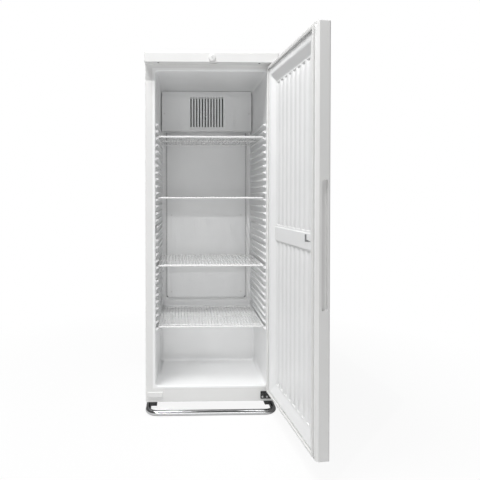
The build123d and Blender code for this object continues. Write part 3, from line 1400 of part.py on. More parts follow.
def bar_end_plugs():
    """The plastic plugs in the bar's rear ends."""
    inner = BAR_RADIUS - BAR_WALL - 2 * PIN_FIT
    plugs = []
    for x in (-BAR_HALF, BAR_HALF):
        stem = endwise(x, BAR_RADIUS, BAR_BACK - BAR_PLUG_LENGTH, BAR_BACK + 1, inner)
        cap = endwise(x, BAR_RADIUS, BAR_BACK, BAR_BACK + BAR_PLUG_CAP, BAR_RADIUS)
        cap = fillet(cap.edges().sort_by(Axis.Y)[-1:], BAR_PLUG_ROUND)
        plugs.append(stem + cap)
    return group(plugs)


def bar_brackets():
    """The black steel blocks under the cabinet, whose arms sit on the bar."""
    outer = BRACKET_INNER + BRACKET_WIDTH
    rail = block(BRACKET_INNER, outer, BRACKET_FRONT, BRACKET_BACK, BRACKET_BOTTOM, BODY_BOTTOM)
    rail = fillet(rail.edges().filter_by(Axis.X), BRACKET_ROUND)
    low = 2 * BAR_RADIUS
    ends = (outer - ARM_LAP, BAR_HALF + ARM_PAST_BAR)
    arm = block(*ends, ARM_FRONT, BRACKET_BACK - ARM_BACK_GAP, low, low + ARM_THICK)
    x, depth = bar_bolt_spots()[1]
    bracket = rail + arm - upright(x, depth, BAR_RADIUS, BODY_BOTTOM, BAR_BOLT_RADIUS + PIN_FIT)
    return group([bracket, mirrored(bracket)])


def bar_bolts():
    """The bolts through the brackets' arms into the bar."""
    bolts = []
    head_low = 2 * BAR_RADIUS + ARM_THICK
    for x, depth in bar_bolt_spots():
        bolt = upright(x, depth, BAR_RADIUS + BOLT_END_RAISE, head_low, BAR_BOLT_RADIUS)
        hexagon = extrude(RegularPolygon(BOLT_HEAD_RADIUS, 6), amount=BOLT_HEAD_HEIGHT)
        head = Pos(x, FRONT + depth, head_low) * hexagon
        bolts.append(bolt + head)
    return group(bolts)


def roller_brackets():
    """The U-shaped steel brackets of the rear rollers."""
    inner = ROLLER_WIDTH / 2 + ROLLER_SIDE_GAP
    outer = inner + CHEEK
    left = ROLLER_OFFSET - outer
    right = ROLLER_OFFSET + outer
    low = ROLLER_RADIUS - CHEEK_BELOW_AXLE
    top = BODY_BOTTOM - 1
    half = CHEEK_HALF_LENGTH
    web_half = half + CHEEK_FLANGE
    front = ROLLER_DEPTH - web_half
    bracket = block(left, right, front, ROLLER_DEPTH + web_half, top - CHEEK + 1, BODY_BOTTOM)
    for x0, x1 in ((left, ROLLER_OFFSET - inner), (ROLLER_OFFSET + inner, right)):
        cheek = block(x0, x1, ROLLER_DEPTH - half, ROLLER_DEPTH + half, low, top)
        lower = [edge for edge in cheek.edges().filter_by(Axis.X) if edge.center().Z < low + 1]
        bracket = bracket + fillet(lower, half / 2)
    bracket = bracket - crosswise(left - 5, right + 5, ROLLER_DEPTH, ROLLER_RADIUS, AXLE_RADIUS + PIN_FIT)
    return group([bracket, mirrored(bracket)])


def roller_axles():
    """The riveted axles of the rear rollers."""
    reach = ROLLER_WIDTH / 2 + ROLLER_SIDE_GAP + CHEEK
    ends = (ROLLER_OFFSET - reach - 1, ROLLER_OFFSET + reach + 1)
    axle = crosswise(*ends, ROLLER_DEPTH, ROLLER_RADIUS, AXLE_RADIUS)
    for side in (-1, 1):
        ends = sorted((ROLLER_OFFSET + side * reach, ROLLER_OFFSET + side * (reach + AXLE_HEAD_LENGTH)))
        axle = axle + crosswise(*ends, ROLLER_DEPTH, ROLLER_RADIUS, AXLE_RADIUS + AXLE_HEAD_RIM)
    return group([axle, mirrored(axle)])


def roller():
    """One hard plastic roller, hollowed on both sides."""
    x0 = ROLLER_OFFSET - ROLLER_WIDTH / 2
    x1 = ROLLER_OFFSET + ROLLER_WIDTH / 2
    wheel = crosswise(x0, x1, ROLLER_DEPTH, ROLLER_RADIUS, ROLLER_RADIUS)
    wheel = fillet(wheel.edges().filter_by(GeomType.CIRCLE), ROLLER_ROUND)
    rim = ROLLER_RADIUS - ROLLER_RIM
    hub = AXLE_RADIUS + ROLLER_HUB
    for start, end in ((x0 - 1, x0 + ROLLER_HOLLOW), (x1 - ROLLER_HOLLOW, x1 + 1)):
        ring = crosswise(start, end, ROLLER_DEPTH, ROLLER_RADIUS, rim)
        wheel = wheel - (ring - crosswise(start - 1, end + 1, ROLLER_DEPTH, ROLLER_RADIUS, hub))
    return wheel - crosswise(x0 - 1, x1 + 1, ROLLER_DEPTH, ROLLER_RADIUS, AXLE_RADIUS + PIN_FIT)


def shelf_ledges():
    """The numbers of the ledges that carry a shelf, counted up from the lowest."""
    highest = LEDGE_COUNT - 1 - LEDGES_OVER_TOP_SHELF
    return [round(highest * number / (SHELF_COUNT - 1)) for number in range(SHELF_COUNT)]


def shelf(ledge_number):
    """One wire shelf, standing on a pair of ledges."""
    ledge_top = LEDGE_FIRST_TOP + ledge_number * LEDGE_PITCH
    z = ledge_top + FREE_GAP + FRAME_WIRE / 2
    radius = FRAME_WIRE / 2
    half = SHELF_HALF - radius
    front = SHELF_FRONT + radius
    back = SHELF_FRONT + SHELF_DEPTH - radius
    points = [
        (-half, FRONT + front, z),
        (-half, FRONT + back, z),
        (half, FRONT + back, z),
        (half, FRONT + front, z),
    ]
    rim_path = FilletPolyline(*points, radius=SHELF_CORNER, close=True)
    grid_z = z + radius + GRID_WIRE / 2 - WELD_SINK
    bar_z = grid_z - GRID_WIRE / 2 + WELD_SINK / 2 - BAR_WIRE / 2
    wires = [crosswise(-half, half, SHELF_FRONT + offset, bar_z, BAR_WIRE / 2) for offset in SHELF_BARS]
    pitch = (2 * half) / (GRID_COUNT + 1)
    for number in range(GRID_COUNT):
        x = (number - (GRID_COUNT - 1) / 2) * pitch
        wires.append(endwise(x, grid_z, front - GRID_REACH, back + GRID_REACH, GRID_WIRE / 2))
    return tube_along(rim_path, radius).fuse(*wires)


def closed_point(inset, v):
    """A point in plan of the closed door, by its inset from the hinge edge and its own depth."""
    return (HALF - inset, -DOOR_GAP - v)


def door_block(u0, u1, v0, v1, z0, z1):
    """A block of the closed door, by its insets from the hinge edge and its own depths."""
    return block(HALF - u1, HALF - u0, -DOOR_GAP - v1, -DOOR_GAP - v0, z0, z1)


def door_plan(inset):
    """The door's plan outline, drawn in by inset all round."""
    width = CABINET_WIDTH
    outer = DOOR_THICK - inset
    flange = DOOR_FLANGE_V + inset
    bevel = DOOR_EDGE_V - DOOR_FLANGE_V
    slant = math.hypot(DOOR_CHAMFER, bevel)
    edge_v = DOOR_EDGE_V + inset * (slant - DOOR_CHAMFER) / bevel
    corner_u = DOOR_CHAMFER + inset * (slant - bevel) / DOOR_CHAMFER
    points = [
        closed_point(inset, outer),
        closed_point(width - inset, outer),
        closed_point(width - inset, edge_v),
        closed_point(width - corner_u, flange),
        closed_point(corner_u, flange),
        closed_point(inset, edge_v),
    ]
    return points


def door_body(inset, z0, z1):
    """The door's rounded block between two heights."""
    shape = prism_along_z(door_plan(inset), z0, z1)
    edges = upright_edges(shape, -DOOR_GAP - DOOR_THICK + inset)
    return fillet(edges, DOOR_ROUND - inset)


def opened(shape):
    """A piece of the closed door turned to the open pose, about the hinge pins."""
    to_pin = Pos(PIN_X, PIN_Y, 0)
    from_pin = Pos(-PIN_X, -PIN_Y, 0)
    return to_pin * Rot(0, 0, DOOR_REST_ANGLE) * from_pin * shape


def grip_block(grow, depth_in):
    """The grip's recess in the free edge, grown by a wall."""
    v0 = GRIP_V - grow
    v1 = GRIP_V + GRIP_WIDTH + grow
    z0 = GRIP_BOTTOM - grow
    z1 = GRIP_TOP + grow
    recess = door_block(CABINET_WIDTH - depth_in, CABINET_WIDTH + 5, v0, v1, z0, z1)
    edges = recess.edges().filter_by(Axis.X)
    return fillet(edges, GRIP_ROUND + grow)


def door_relief(shift):
    """All that lies behind the inner face of the door's liner, moved outward by shift."""
    far = DOOR_THICK + 5
    lap_inset = GASKET_OUTER - LINER_LAP
    inset = GROOVE_INSET + shift
    flange = door_block(
        lap_inset,
        CABINET_WIDTH - lap_inset,
        DOOR_FLANGE_V + SHEET,
        far,
        DOOR_BOTTOM + DOOR_CAP,
        DOOR_TOP - DOOR_CAP,
    )
    dam = door_block(inset, CABINET_WIDTH - inset, DAM_V, far, DOOR_BOTTOM + inset, DOOR_TOP - inset)
    relief = flange + dam
    rims = []
    for u0, u1, z0, z1, v in (
        (POCKET_SIDE, CABINET_WIDTH - POCKET_SIDE, POCKET_BOTTOM, POCKET_TOP, DAM_V),
        (FIELD_HINGE_SIDE, FIELD_FREE_SIDE, FIELD_BOTTOM, FIELD_TOP, FIELD_V),
    ):
        x0 = HALF - u1
        x1 = HALF - u0
        y = FRONT - DOOR_GAP - v
        rims.append(make_face(Polyline([(x0, y, z0), (x1, y, z0), (x1, y, z1), (x0, y, z1)], close=True)))
    relief = relief - loft(rims)
    relief = relief + door_block(
        FIELD_HINGE_SIDE, FIELD_FREE_SIDE, FIELD_V - BAND_PROUD, FIELD_V + 1, BAND_BOTTOM, BAND_TOP
    )
    for flute in flute_tools():
        relief = relief - flute
    return Pos(0, -shift, 0) * relief


def flute_tools():
    """Long round-ended shapes that sink the flutes into the door's field."""
    half = FLUTE_WIDTH / 2
    radius = (half ** 2 + FLUTE_SINK ** 2) / (2 * FLUTE_SINK)
    v = FIELD_V + FLUTE_SINK - radius
    below = door_block(0, CABINET_WIDTH, FIELD_V - 3, DOOR_THICK, 0, TOTAL_HEIGHT)
    spans = [
        (FIELD_BOTTOM + FLUTE_END_GAP, BAND_BOTTOM - FLUTE_TOP_GAP),
        (BAND_TOP + FLUTE_END_GAP, FIELD_TOP - FLUTE_TOP_GAP),
    ]
    tools = []
    for number in range(FLUTE_COUNT):
        x, depth = closed_point(FLUTE_FIRST + number * FLUTE_PITCH, v)
        for low, high in spans:
            z0 = low + half
            z1 = high - half
            tool = upright(x, depth, z0, z1, radius)
            tool = tool + Pos(x, FRONT + depth, z0) * Sphere(radius)
            tool = tool + Pos(x, FRONT + depth, z1) * Sphere(radius)
            tools.append(tool & below)
    return tools


def door_skin():
    """The folded steel pan of the door."""
    low = DOOR_BOTTOM + DOOR_CAP
    high = DOOR_TOP - DOOR_CAP
    pan = door_body(0, low, high) - door_body(SHEET, low - 1, high + 1)
    inset = GASKET_OUTER + GASKET_WIDTH + LINER_EDGE_GAP
    pan = pan - door_block(inset, CABINET_WIDTH - inset, 0, DOOR_FLANGE_V + 2, low - 1, high + 1)
    return pan - grip_block(PIN_FIT, GRIP_DEEP)


def door_inside():
    """The space inside the pan, between the end caps."""
    return door_body(SHEET, DOOR_BOTTOM + DOOR_CAP, DOOR_TOP - DOOR_CAP)


def door_foam():
    """The rigid foam inside the door."""
    relief = door_relief(DOOR_LINER_WALL)
    lap = DOOR_FLANGE_V + SHEET + DOOR_LINER_WALL
    low = DOOR_BOTTOM
    shape = door_inside() & door_block(0, CABINET_WIDTH, lap, DOOR_THICK, low, DOOR_TOP)
    inner = GROOVE_INSET + LINER_EDGE_GAP
    front = door_inside() & door_block(
        inner, CABINET_WIDTH - inner, 0, DOOR_THICK, low + DOOR_CAP + 2, DOOR_TOP - DOOR_CAP - 2
    )
    shape = (shape + front) & foam_limit(relief)
    return shape - grip_block(GRIP_WALL, GRIP_DEEP + GRIP_WALL)


def foam_limit(relief):
    """The relief, widened behind the flange to the whole door."""
    lap = DOOR_FLANGE_V + SHEET + DOOR_LINER_WALL
    rim = door_block(0, CABINET_WIDTH, lap, DOOR_THICK + 5, DOOR_BOTTOM, DOOR_TOP)
    inset = POCKET_SIDE - FOAM_RIM_LAP
    top = POCKET_TOP + FOAM_RIM_LAP
    middle = door_block(inset, CABINET_WIDTH - inset, 0, DOOR_THICK + 6, POCKET_BOTTOM, top)
    return relief + (rim - middle)


def door_liner():
    """The moulded inner face of the door, with its dam, sunken field and flutes."""
    return door_relief(0) - door_relief(DOOR_LINER_WALL)


def door_gasket():
    """The magnetic gasket round the door's inner face."""
    outer_low = DOOR_BOTTOM + GASKET_OUTER
    outer_high = DOOR_TOP - GASKET_OUTER
    inner = GASKET_OUTER + GASKET_WIDTH
    ring = door_block(GASKET_OUTER, CABINET_WIDTH - GASKET_OUTER, 0, DOOR_FLANGE_V, outer_low, outer_high)
    hole = door_block(
        inner, CABINET_WIDTH - inner, -1, DOOR_FLANGE_V + 1, DOOR_BOTTOM + inner, DOOR_TOP - inner
    )
    ring = ring - hole
    crest = [edge for edge in ring.edges() if edge.center().Y > FRONT - DOOR_GAP - 0.01]
    return fillet(crest, GASKET_ROUND)


def door_cap(is_top):
    """The moulded cap that closes the pan's upper or lower end."""
    outer_end = DOOR_TOP if is_top else DOOR_BOTTOM
    inward = -1 if is_top else 1
    inner_end = outer_end + inward * DOOR_CAP
    under_wall = outer_end + inward * LINER_WALL
    cap = door_body(0, *sorted((outer_end, inner_end)))
    end_edges = [edge for edge in cap.edges() if abs(edge.center().Z - outer_end) < 0.01]
    cap = fillet(end_edges, DOOR_CAP_ROUND)
    cap = cap - door_body(LINER_WALL, *sorted((under_wall, inner_end + inward)))
    bush_radius = PIN_RADIUS + PIN_FIT + BUSH_WALL
    cap = cap + upright(PIN_X, PIN_Y - FRONT, *sorted((outer_end + inward, inner_end)), bush_radius + BUSH_SEAT)
    inset = GASKET_OUTER + GASKET_WIDTH + LINER_EDGE_GAP
    lip_end = outer_end + inward * inset
    lip_start = inner_end - inward
    cap = cap + door_block(
        inset, CABINET_WIDTH - inset, DOOR_FLANGE_V, DOOR_FLANGE_V + SHEET, *sorted((lip_start, lip_end))
    )
    cap = cap - upright(PIN_X, PIN_Y - FRONT, DOOR_BOTTOM - 1, DOOR_TOP + 1, bush_radius + PIN_FIT)
    if is_top:
        front = CAM_DEPTH - CAM_THICK / 2 - CAM_ROOM
        back = CAM_DEPTH + CAM_THICK / 2 + CAM_ROOM
        left = -CAM_WIDTH / 2 - CAM_ROOM
        cap = cap - block(left, cam_reach(DOOR_TOP), front, back, under_wall - 1, DOOR_TOP + 1)
    return cap


def door_bushes():
    """The flanged bushes in the end caps, which turn on the hinge pins."""
    depth = PIN_Y - FRONT
    outer = PIN_RADIUS + PIN_FIT + BUSH_WALL
    bore = PIN_RADIUS + PIN_FIT
    low_flange = LOWER_TONGUE_TOP + FREE_GAP
    lower = upright(PIN_X, depth, DOOR_BOTTOM, DOOR_BOTTOM + DOOR_CAP, outer)
    lower = lower + upright(PIN_X, depth, low_flange, DOOR_BOTTOM, BUSH_FLANGE)
    upper = upright(PIN_X, depth, DOOR_TOP - DOOR_CAP, DOOR_TOP, outer)
    upper = upper + upright(PIN_X, depth, DOOR_TOP, DOOR_TOP + BUSH_FLANGE_THICK, BUSH_FLANGE)
    hole = upright(PIN_X, depth, low_flange - 1, DOOR_TOP + 3, bore)
    return group([lower - hole, upper - hole])


def grip_cup():
    """The moulded cup that lines the grip's recess."""
    cup = grip_block(GRIP_WALL, GRIP_DEEP + GRIP_WALL) & door_body(SHEET, DOOR_BOTTOM, DOOR_TOP)
    return cup - grip_block(0, GRIP_DEEP)


def bottle_clip():
    """The small dark L-shaped clip on the plain band of the door's liner."""
    face = FIELD_V - BAND_PROUD
    left = CABINET_WIDTH - CLIP_INSET
    low = BAND_BOTTOM + CLIP_RAISE
    foot = door_block(left, left + CLIP_FOOT_LENGTH, face - CLIP_THICK, face, low, low + CLIP_FOOT_HEIGHT)
    arm_low = low + (CLIP_FOOT_HEIGHT - CLIP_ARM_HEIGHT) / 2
    arm_top = arm_low + CLIP_ARM_HEIGHT
    arm = door_block(left, left + CLIP_ARM_LENGTH, face - CLIP_THICK, face, arm_low, arm_top)
    post = door_block(left, left + CLIP_POST_WIDTH, face - CLIP_PROUD, face, low, low + CLIP_POST_HEIGHT)
    post = fillet(post.edges().filter_by(Axis.Y).sort_by(Axis.Z)[-2:], CLIP_POST_WIDTH * 0.4)
    return foot + arm + post


def cabinet_nodes():
    """Every piece that stays with the cabinet."""
    return {
        "outer_shell": outer_shell(),
        "rear_panel": rear_panel(),
        "base_plate": base_plate(),
        "base_front_panel": base_front_panel(),
        "machine_wall": machine_wall(),
        "machine_floor": machine_floor(),
        "inner_liner": inner_liner(),
        "wall_plug": wall_plug(),
        "cabinet_foam": cabinet_foam(),
        "drain_pipe": drain_pipe(),
        "top_cover": top_cover(),
        "cover_screws": cover_screws(),
        "lock_bezel": lock_bezel(),
        "air_panel": air_panel(),
        "fan_housing": fan_housing(),
        "back_wall_screws": back_wall_screws(),
        "fan_bracket": fan_bracket(),
        "fan_motor": fan_motor(),
        "thermostat": thermostat(),
        "evaporator": evaporator(),
        "suction_pipe": suction_pipe(),
        "compressor": compressor(),
        "compressor_mounts": compressor_mounts(),
        "terminal_box": terminal_box(),
        "evaporating_tray": evaporating_tray(),
        "discharge_pipe": discharge_pipe(),
        "filter_drier": filter_drier(),
        "condenser_tube": condenser(CONDENSER_RADIUS),
        "condenser_wires": condenser_wires(),
        "condenser_clips": condenser_clips(),
        "mains_gland": mains_gland(),
        "upper_hinge_bracket": upper_hinge_bracket(),
        "upper_hinge_pin": upper_hinge_pin(),
        "lower_hinge_bracket": lower_hinge_bracket(),
        "lower_hinge_pin": lower_hinge_pin(),
        "hinge_screws": hinge_screws(),
        "left_hinge_cover": left_hinge_cover(),
        "foot_bar": foot_bar(),
        "foot_bar_plugs": bar_end_plugs(),
        "foot_bar_brackets": bar_brackets(),
        "foot_bar_bolts": bar_bolts(),
        "roller_brackets": roller_brackets(),
        "roller_axles": roller_axles(),
    }


def door_nodes():
    """Every piece that turns with the door, in the closed pose."""
    return {
        "door_skin": door_skin(),
        "door_foam": door_foam(),
        "door_liner": door_liner(),
        "door_gasket": door_gasket(),
        "door_top_cap": door_cap(True),
        "door_bottom_cap": door_cap(False),
        "door_bushes": door_bushes(),
        "grip_cup": grip_cup(),
        "bottle_clip": bottle_clip(),
    }


def moving_nodes():
    """The pieces that move in the cabinet by themselves."""
    right_roller = roller()
    nodes = {
        "lock_barrel": lock_barrel(),
        "fan_blades": fan_blades(),
        "rear_roller_right": right_roller,
        "rear_roller_left": mirrored(right_roller),
    }
    for number, ledge_number in enumerate(shelf_ledges(), start=1):
        nodes[f"wire_shelf_{number}"] = shelf(ledge_number)
    return nodes


for name, shape in cabinet_nodes().items():
    save(name, shape)
for name, shape in moving_nodes().items():
    save(name, shape)
for name, shape in door_nodes().items():
    save(name, opened(shape))
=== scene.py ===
import math

import bmesh
import bpy
from mathutils import Matrix, Vector


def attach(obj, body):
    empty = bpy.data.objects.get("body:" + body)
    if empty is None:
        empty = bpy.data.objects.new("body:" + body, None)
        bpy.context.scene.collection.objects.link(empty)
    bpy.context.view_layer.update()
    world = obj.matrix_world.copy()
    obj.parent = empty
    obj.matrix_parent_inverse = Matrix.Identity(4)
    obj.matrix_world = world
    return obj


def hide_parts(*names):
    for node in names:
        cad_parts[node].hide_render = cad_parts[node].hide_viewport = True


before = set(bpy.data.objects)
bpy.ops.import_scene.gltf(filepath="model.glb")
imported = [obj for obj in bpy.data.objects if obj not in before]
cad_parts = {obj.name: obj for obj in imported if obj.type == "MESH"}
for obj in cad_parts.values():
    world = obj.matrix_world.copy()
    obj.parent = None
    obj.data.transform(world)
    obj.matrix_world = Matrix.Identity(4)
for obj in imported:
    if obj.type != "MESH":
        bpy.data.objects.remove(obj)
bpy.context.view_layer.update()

# An upright bottle refrigerator with one solid door, standing open. Metres, +Z up, the floor at 0.
# The front looks along -Y, and the door hangs on the +X side.


# The cabinet's sides, top and frame: one sheet of steel, folded round the opening and powder
# coated white. The coat is satin, with the faint ripple of an orange's peel. The plain panel
# under the opening is cut from the same sheet.

def new_finish(name, roughness, metallic=0.0):
    """A finish with one shader, and the coordinates that stay with its piece."""
    finish = bpy.data.materials.new(name)
    finish.use_nodes = True
    tree = finish.node_tree
    shader = tree.nodes["Principled BSDF"]
    shader.inputs["Roughness"].default_value = roughness
    shader.inputs["Metallic"].default_value = metallic
    place = tree.nodes.new("ShaderNodeTexCoord").outputs["Object"]
    return finish, tree, shader, place


def spots(tree, place, size, detail=2.0, stretch=(1, 1, 1)):
    """Soft noise whose spots are about size metres across, longer along a stretched axis."""
    scaled = tree.nodes.new("ShaderNodeMapping")
    scaled.inputs["Scale"].default_value = [1 / (size * share) for share in stretch]
    tree.links.new(place, scaled.inputs["Vector"])
    noise = tree.nodes.new("ShaderNodeTexNoise")
    noise.inputs["Scale"].default_value = 1.0
    noise.inputs["Detail"].default_value = detail
    tree.links.new(scaled.outputs["Vector"], noise.inputs["Vector"])
    return noise.outputs["Fac"]


def two_tones(tree, shader, pattern, first, second, low=0.3, high=0.7):
    """Colour that goes from one tone to another with a pattern."""
    ramp = tree.nodes.new("ShaderNodeValToRGB")
    ramp.color_ramp.elements[0].position = low
    ramp.color_ramp.elements[1].position = high
    ramp.color_ramp.elements[0].color = (*first, 1)
    ramp.color_ramp.elements[1].color = (*second, 1)
    tree.links.new(pattern, ramp.inputs["Fac"])
    tree.links.new(ramp.outputs["Color"], shader.inputs["Base Color"])


def uneven_gloss(tree, shader, pattern, smoothest, roughest):
    """Roughness that wanders between two values with a pattern."""
    wander = tree.nodes.new("ShaderNodeMapRange")
    wander.inputs["From Min"].default_value = 0.3
    wander.inputs["From Max"].default_value = 0.7
    wander.inputs["To Min"].default_value = smoothest
    wander.inputs["To Max"].default_value = roughest
    tree.links.new(pattern, wander.inputs["Value"])
    tree.links.new(wander.outputs["Result"], shader.inputs["Roughness"])


def relief(tree, shader, pattern, height):
    """A fine relief of a real height in metres."""
    bump = tree.nodes.new("ShaderNodeBump")
    bump.inputs["Distance"].default_value = height
    bump.inputs["Strength"].default_value = 1.0
    tree.links.new(pattern, bump.inputs["Height"])
    tree.links.new(bump.outputs["Normal"], shader.inputs["Normal"])


def coat(finish, *names):
    """Give pieces of the frame this finish."""
    for name in names:
        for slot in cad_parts[name].material_slots:
            slot.material = finish


def powder_coat():
    """White powder coat, barely mottled, with the fine ripple of an orange's peel."""
    finish, tree, shader, place = new_finish("white_powder_coat", 0.38)
    mottling = spots(tree, place, size=0.25, detail=3)
    two_tones(tree, shader, mottling, (0.79, 0.79, 0.782), (0.766, 0.766, 0.759))
    patches = spots(tree, place, size=0.06, detail=4)
    uneven_gloss(tree, shader, patches, smoothest=0.33, roughest=0.43)
    peel = spots(tree, place, size=0.0022, detail=1)
    relief(tree, shader, peel, height=0.00003)
    return finish


white_coat = powder_coat()
coat(white_coat, "outer_shell", "base_front_panel")


# The rear sheet, the base plate, the bent wall and floor of the machine space: galvanised
# steel, cut and folded, left with the dull flowers of its zinc and the lines of the rolling.

def galvanised():
    """Zinc with flowers about a centimetre wide and rolling lines that run up the sheet."""
    finish, tree, shader, place = new_finish("galvanised_steel", 0.45, metallic=1.0)
    flowers = tree.nodes.new("ShaderNodeTexVoronoi")
    flowers.inputs["Scale"].default_value = 110
    tree.links.new(place, flowers.inputs["Vector"])
    bloom = flowers.outputs["Color"]
    two_tones(tree, shader, bloom, (0.5, 0.51, 0.52), (0.64, 0.65, 0.66), low=0.2, high=0.8)
    streaks = spots(tree, place, size=0.01, detail=3, stretch=(1, 1, 12))
    uneven_gloss(tree, shader, streaks, smoothest=0.36, roughest=0.55)
    rolling = spots(tree, place, size=0.0015, detail=2, stretch=(1, 1, 15))
    relief(tree, shader, rolling, height=0.00001)
    return finish


zinc_sheet = galvanised()
coat(zinc_sheet, "rear_panel", "base_plate", "machine_wall", "machine_floor")


# The foam between the room and the sheets, and inside the door: rigid polyurethane, poured in
# as a liquid, which rises, sets hard and glues the walls together. It only shows at its skin.

def poured_foam():
    """Yellow foam with a dull, pitted skin."""
    finish, tree, shader, place = new_finish("rigid_foam", 0.9)
    mottling = spots(tree, place, size=0.004, detail=4)
    two_tones(tree, shader, mottling, (0.78, 0.66, 0.36), (0.68, 0.56, 0.28))
    pits = spots(tree, place, size=0.0015, detail=2)
    relief(tree, shader, pits, height=0.0004)
    return finish


coat(poured_foam(), "cabinet_foam", "door_foam")


# The room: one sheet of white polystyrene, drawn by vacuum over a mould, with the ledges for
# the shelves, the step over the compressor and the rounded lip round the opening. The shallow
# recess in its back wall, where the cold air rises behind the panel, has painted shade: its face
# behind and round the panel is coloured dark grey, so that the gaps round the panel read dark.

def drawn_sheet(name):
    """White plastic sheet, drawn warm, a little uneven in tone and gloss and faintly wavy."""
    finish, tree, shader, place = new_finish(name, 0.34)
    mottling = spots(tree, place, size=0.14, detail=3)
    two_tones(tree, shader, mottling, (0.9, 0.903, 0.903), (0.876, 0.881, 0.883))
    patches = spots(tree, place, size=0.035, detail=4)
    uneven_gloss(tree, shader, patches, smoothest=0.28, roughest=0.4)
    waves = spots(tree, place, size=0.012, detail=2)
    relief(tree, shader, waves, height=0.00006)
    return finish, tree, shader, place


# Painted shade on the room's sheet: dark grey behind the recess's face, inside a half width and
# above a foot.
RECESS_FACE = 0.2155
RECESS_SHADE_HALF = 0.2195
RECESS_SHADE_FOOT = 0.436
RECESS_SHADE_TONE = (0.22, 0.22, 0.22, 1)


def combined(tree, operation, *terms):
    """The result of one sum, whose terms are sockets or plain numbers."""
    node = tree.nodes.new("ShaderNodeMath")
    node.operation = operation
    for term, socket in zip(terms, node.inputs):
        if isinstance(term, float):
            socket.default_value = term
        else:
            tree.links.new(term, socket)
    return node.outputs[0]


def sheet_with_painted_recess_shade():
    """The room's sheet, with painted shade in dark grey on the recess's face behind the panel."""
    finish, tree, shader, place = drawn_sheet("white_room_sheet")
    axes = tree.nodes.new("ShaderNodeSeparateXYZ")
    tree.links.new(place, axes.inputs["Vector"])
    from_middle = combined(tree, "ABSOLUTE", axes.outputs["X"])
    between = combined(tree, "LESS_THAN", from_middle, RECESS_SHADE_HALF)
    above = combined(tree, "GREATER_THAN", axes.outputs["Z"], RECESS_SHADE_FOOT)
    behind = combined(tree, "GREATER_THAN", axes.outputs["Y"], RECESS_FACE)
    # The painted shade: 1 on the recess's face behind and round the panel, 0 elsewhere.
    painted_recess_shade = combined(tree, "MULTIPLY", combined(tree, "MULTIPLY", between, above), behind)
    tone = tree.nodes.new("ShaderNodeMix")
    tone.data_type = "RGBA"
    tone.inputs["B"].default_value = RECESS_SHADE_TONE
    tree.links.new(painted_recess_shade, tone.inputs["Factor"])
    tree.links.new(shader.inputs["Base Color"].links[0].from_socket, tone.inputs["A"])
    tree.links.new(tone.outputs["Result"], shader.inputs["Base Color"])
    return finish


coat(sheet_with_painted_recess_shade(), "inner_liner")


# The oval plug near the front of the left wall: dark plastic, pressed into its hole from the
# inside, with a dull face.

def grained(name, colour, roughness, grain=0.0011):
    """Dark moulded plastic, rubber or paint, with a fine grain."""
    finish, tree, shader, place = new_finish(name, roughness)
    mottling = spots(tree, place, size=0.02, detail=3)
    two_tones(tree, shader, mottling, colour, [tone * 1.35 for tone in colour])
    patches = spots(tree, place, size=0.01, detail=4)
    uneven_gloss(tree, shader, patches, roughness - 0.08, roughness + 0.1)
    relief(tree, shader, spots(tree, place, size=grain, detail=2), height=0.00004)
    return finish


black_plastic = grained("black_plastic", (0.028, 0.028, 0.029), 0.5)
coat(black_plastic, "wall_plug")


# The drain under the step's ledge: a length of grey plastic pipe that ends over the tray on
# the compressor.

grey_plastic = grained("grey_plastic", (0.3, 0.31, 0.32), 0.5)
coat(grey_plastic, "drain_pipe")


# The cold plate behind the back wall: two sheets of aluminium rolled together, with the
# channel blown up between them.

def bare_metal(name, colour, roughness, stretch):
    """Bare or plated metal with fine drawing lines along its stretched axis."""
    finish, tree, shader, place = new_finish(name, roughness, metallic=1.0)
    mottling = spots(tree, place, size=0.02, detail=3)
    two_tones(tree, shader, mottling, colour, [tone * 0.9 for tone in colour])
    streaks = spots(tree, place, size=0.004, detail=4, stretch=stretch)
    uneven_gloss(tree, shader, streaks, roughness * 0.8, roughness * 1.3)
    lines = spots(tree, place, size=0.001, detail=2, stretch=stretch)
    relief(tree, shader, lines, height=0.000004)
    return finish


coat(bare_metal("aluminium", (0.8, 0.81, 0.82), 0.35, stretch=(8, 1, 1)), "evaporator")


# The panel over the cold plate: a flat moulding in the liner's white with one shallow fold
# across it, screwed to the back wall on short stands, so that cold air rises behind it.

def moulded_white(name, light, dark, roughness):
    """White injection moulded plastic, even in tone, with a fine grained face."""
    finish, tree, shader, place = new_finish(name, roughness)
    two_tones(tree, shader, spots(tree, place, size=0.12, detail=3), light, dark)
    patches = spots(tree, place, size=0.03, detail=4)
    uneven_gloss(tree, shader, patches, roughness - 0.05, roughness + 0.06)
    relief(tree, shader, spots(tree, place, size=0.0009, detail=2), height=0.00002)
    return finish


panel_white = moulded_white("panel_white", (0.885, 0.89, 0.89), (0.865, 0.87, 0.872), 0.36)
coat(panel_white, "air_panel")


# The screws of the panel and of the housing: steel, painted white like the wall round them,
# and driven into the back wall.

coat(white_coat, "back_wall_screws")


# The fan behind the housing: a small shaded-pole motor, painted dark grey like the bent steel
# strip that carries it, and a moulded dark grey rotor pushed on its shaft. The thermostat's box
# stands beside it.

dark_grey = grained("dark_grey", (0.19, 0.193, 0.196), 0.5)
coat(dark_grey, "fan_bracket", "fan_motor", "fan_blades", "thermostat")


# The housing across the top of the back wall: one white moulding with a raised middle, a neck
# set back from its face up to the ceiling, and twelve upright slots for the fan's air.

coat(panel_white, "fan_housing")


# The four shelves: steel wire, cut, welded into a rim with two bars and a row of thin wires,
# then dipped in white polyethylene, which leaves it glossy and soft at the welds.

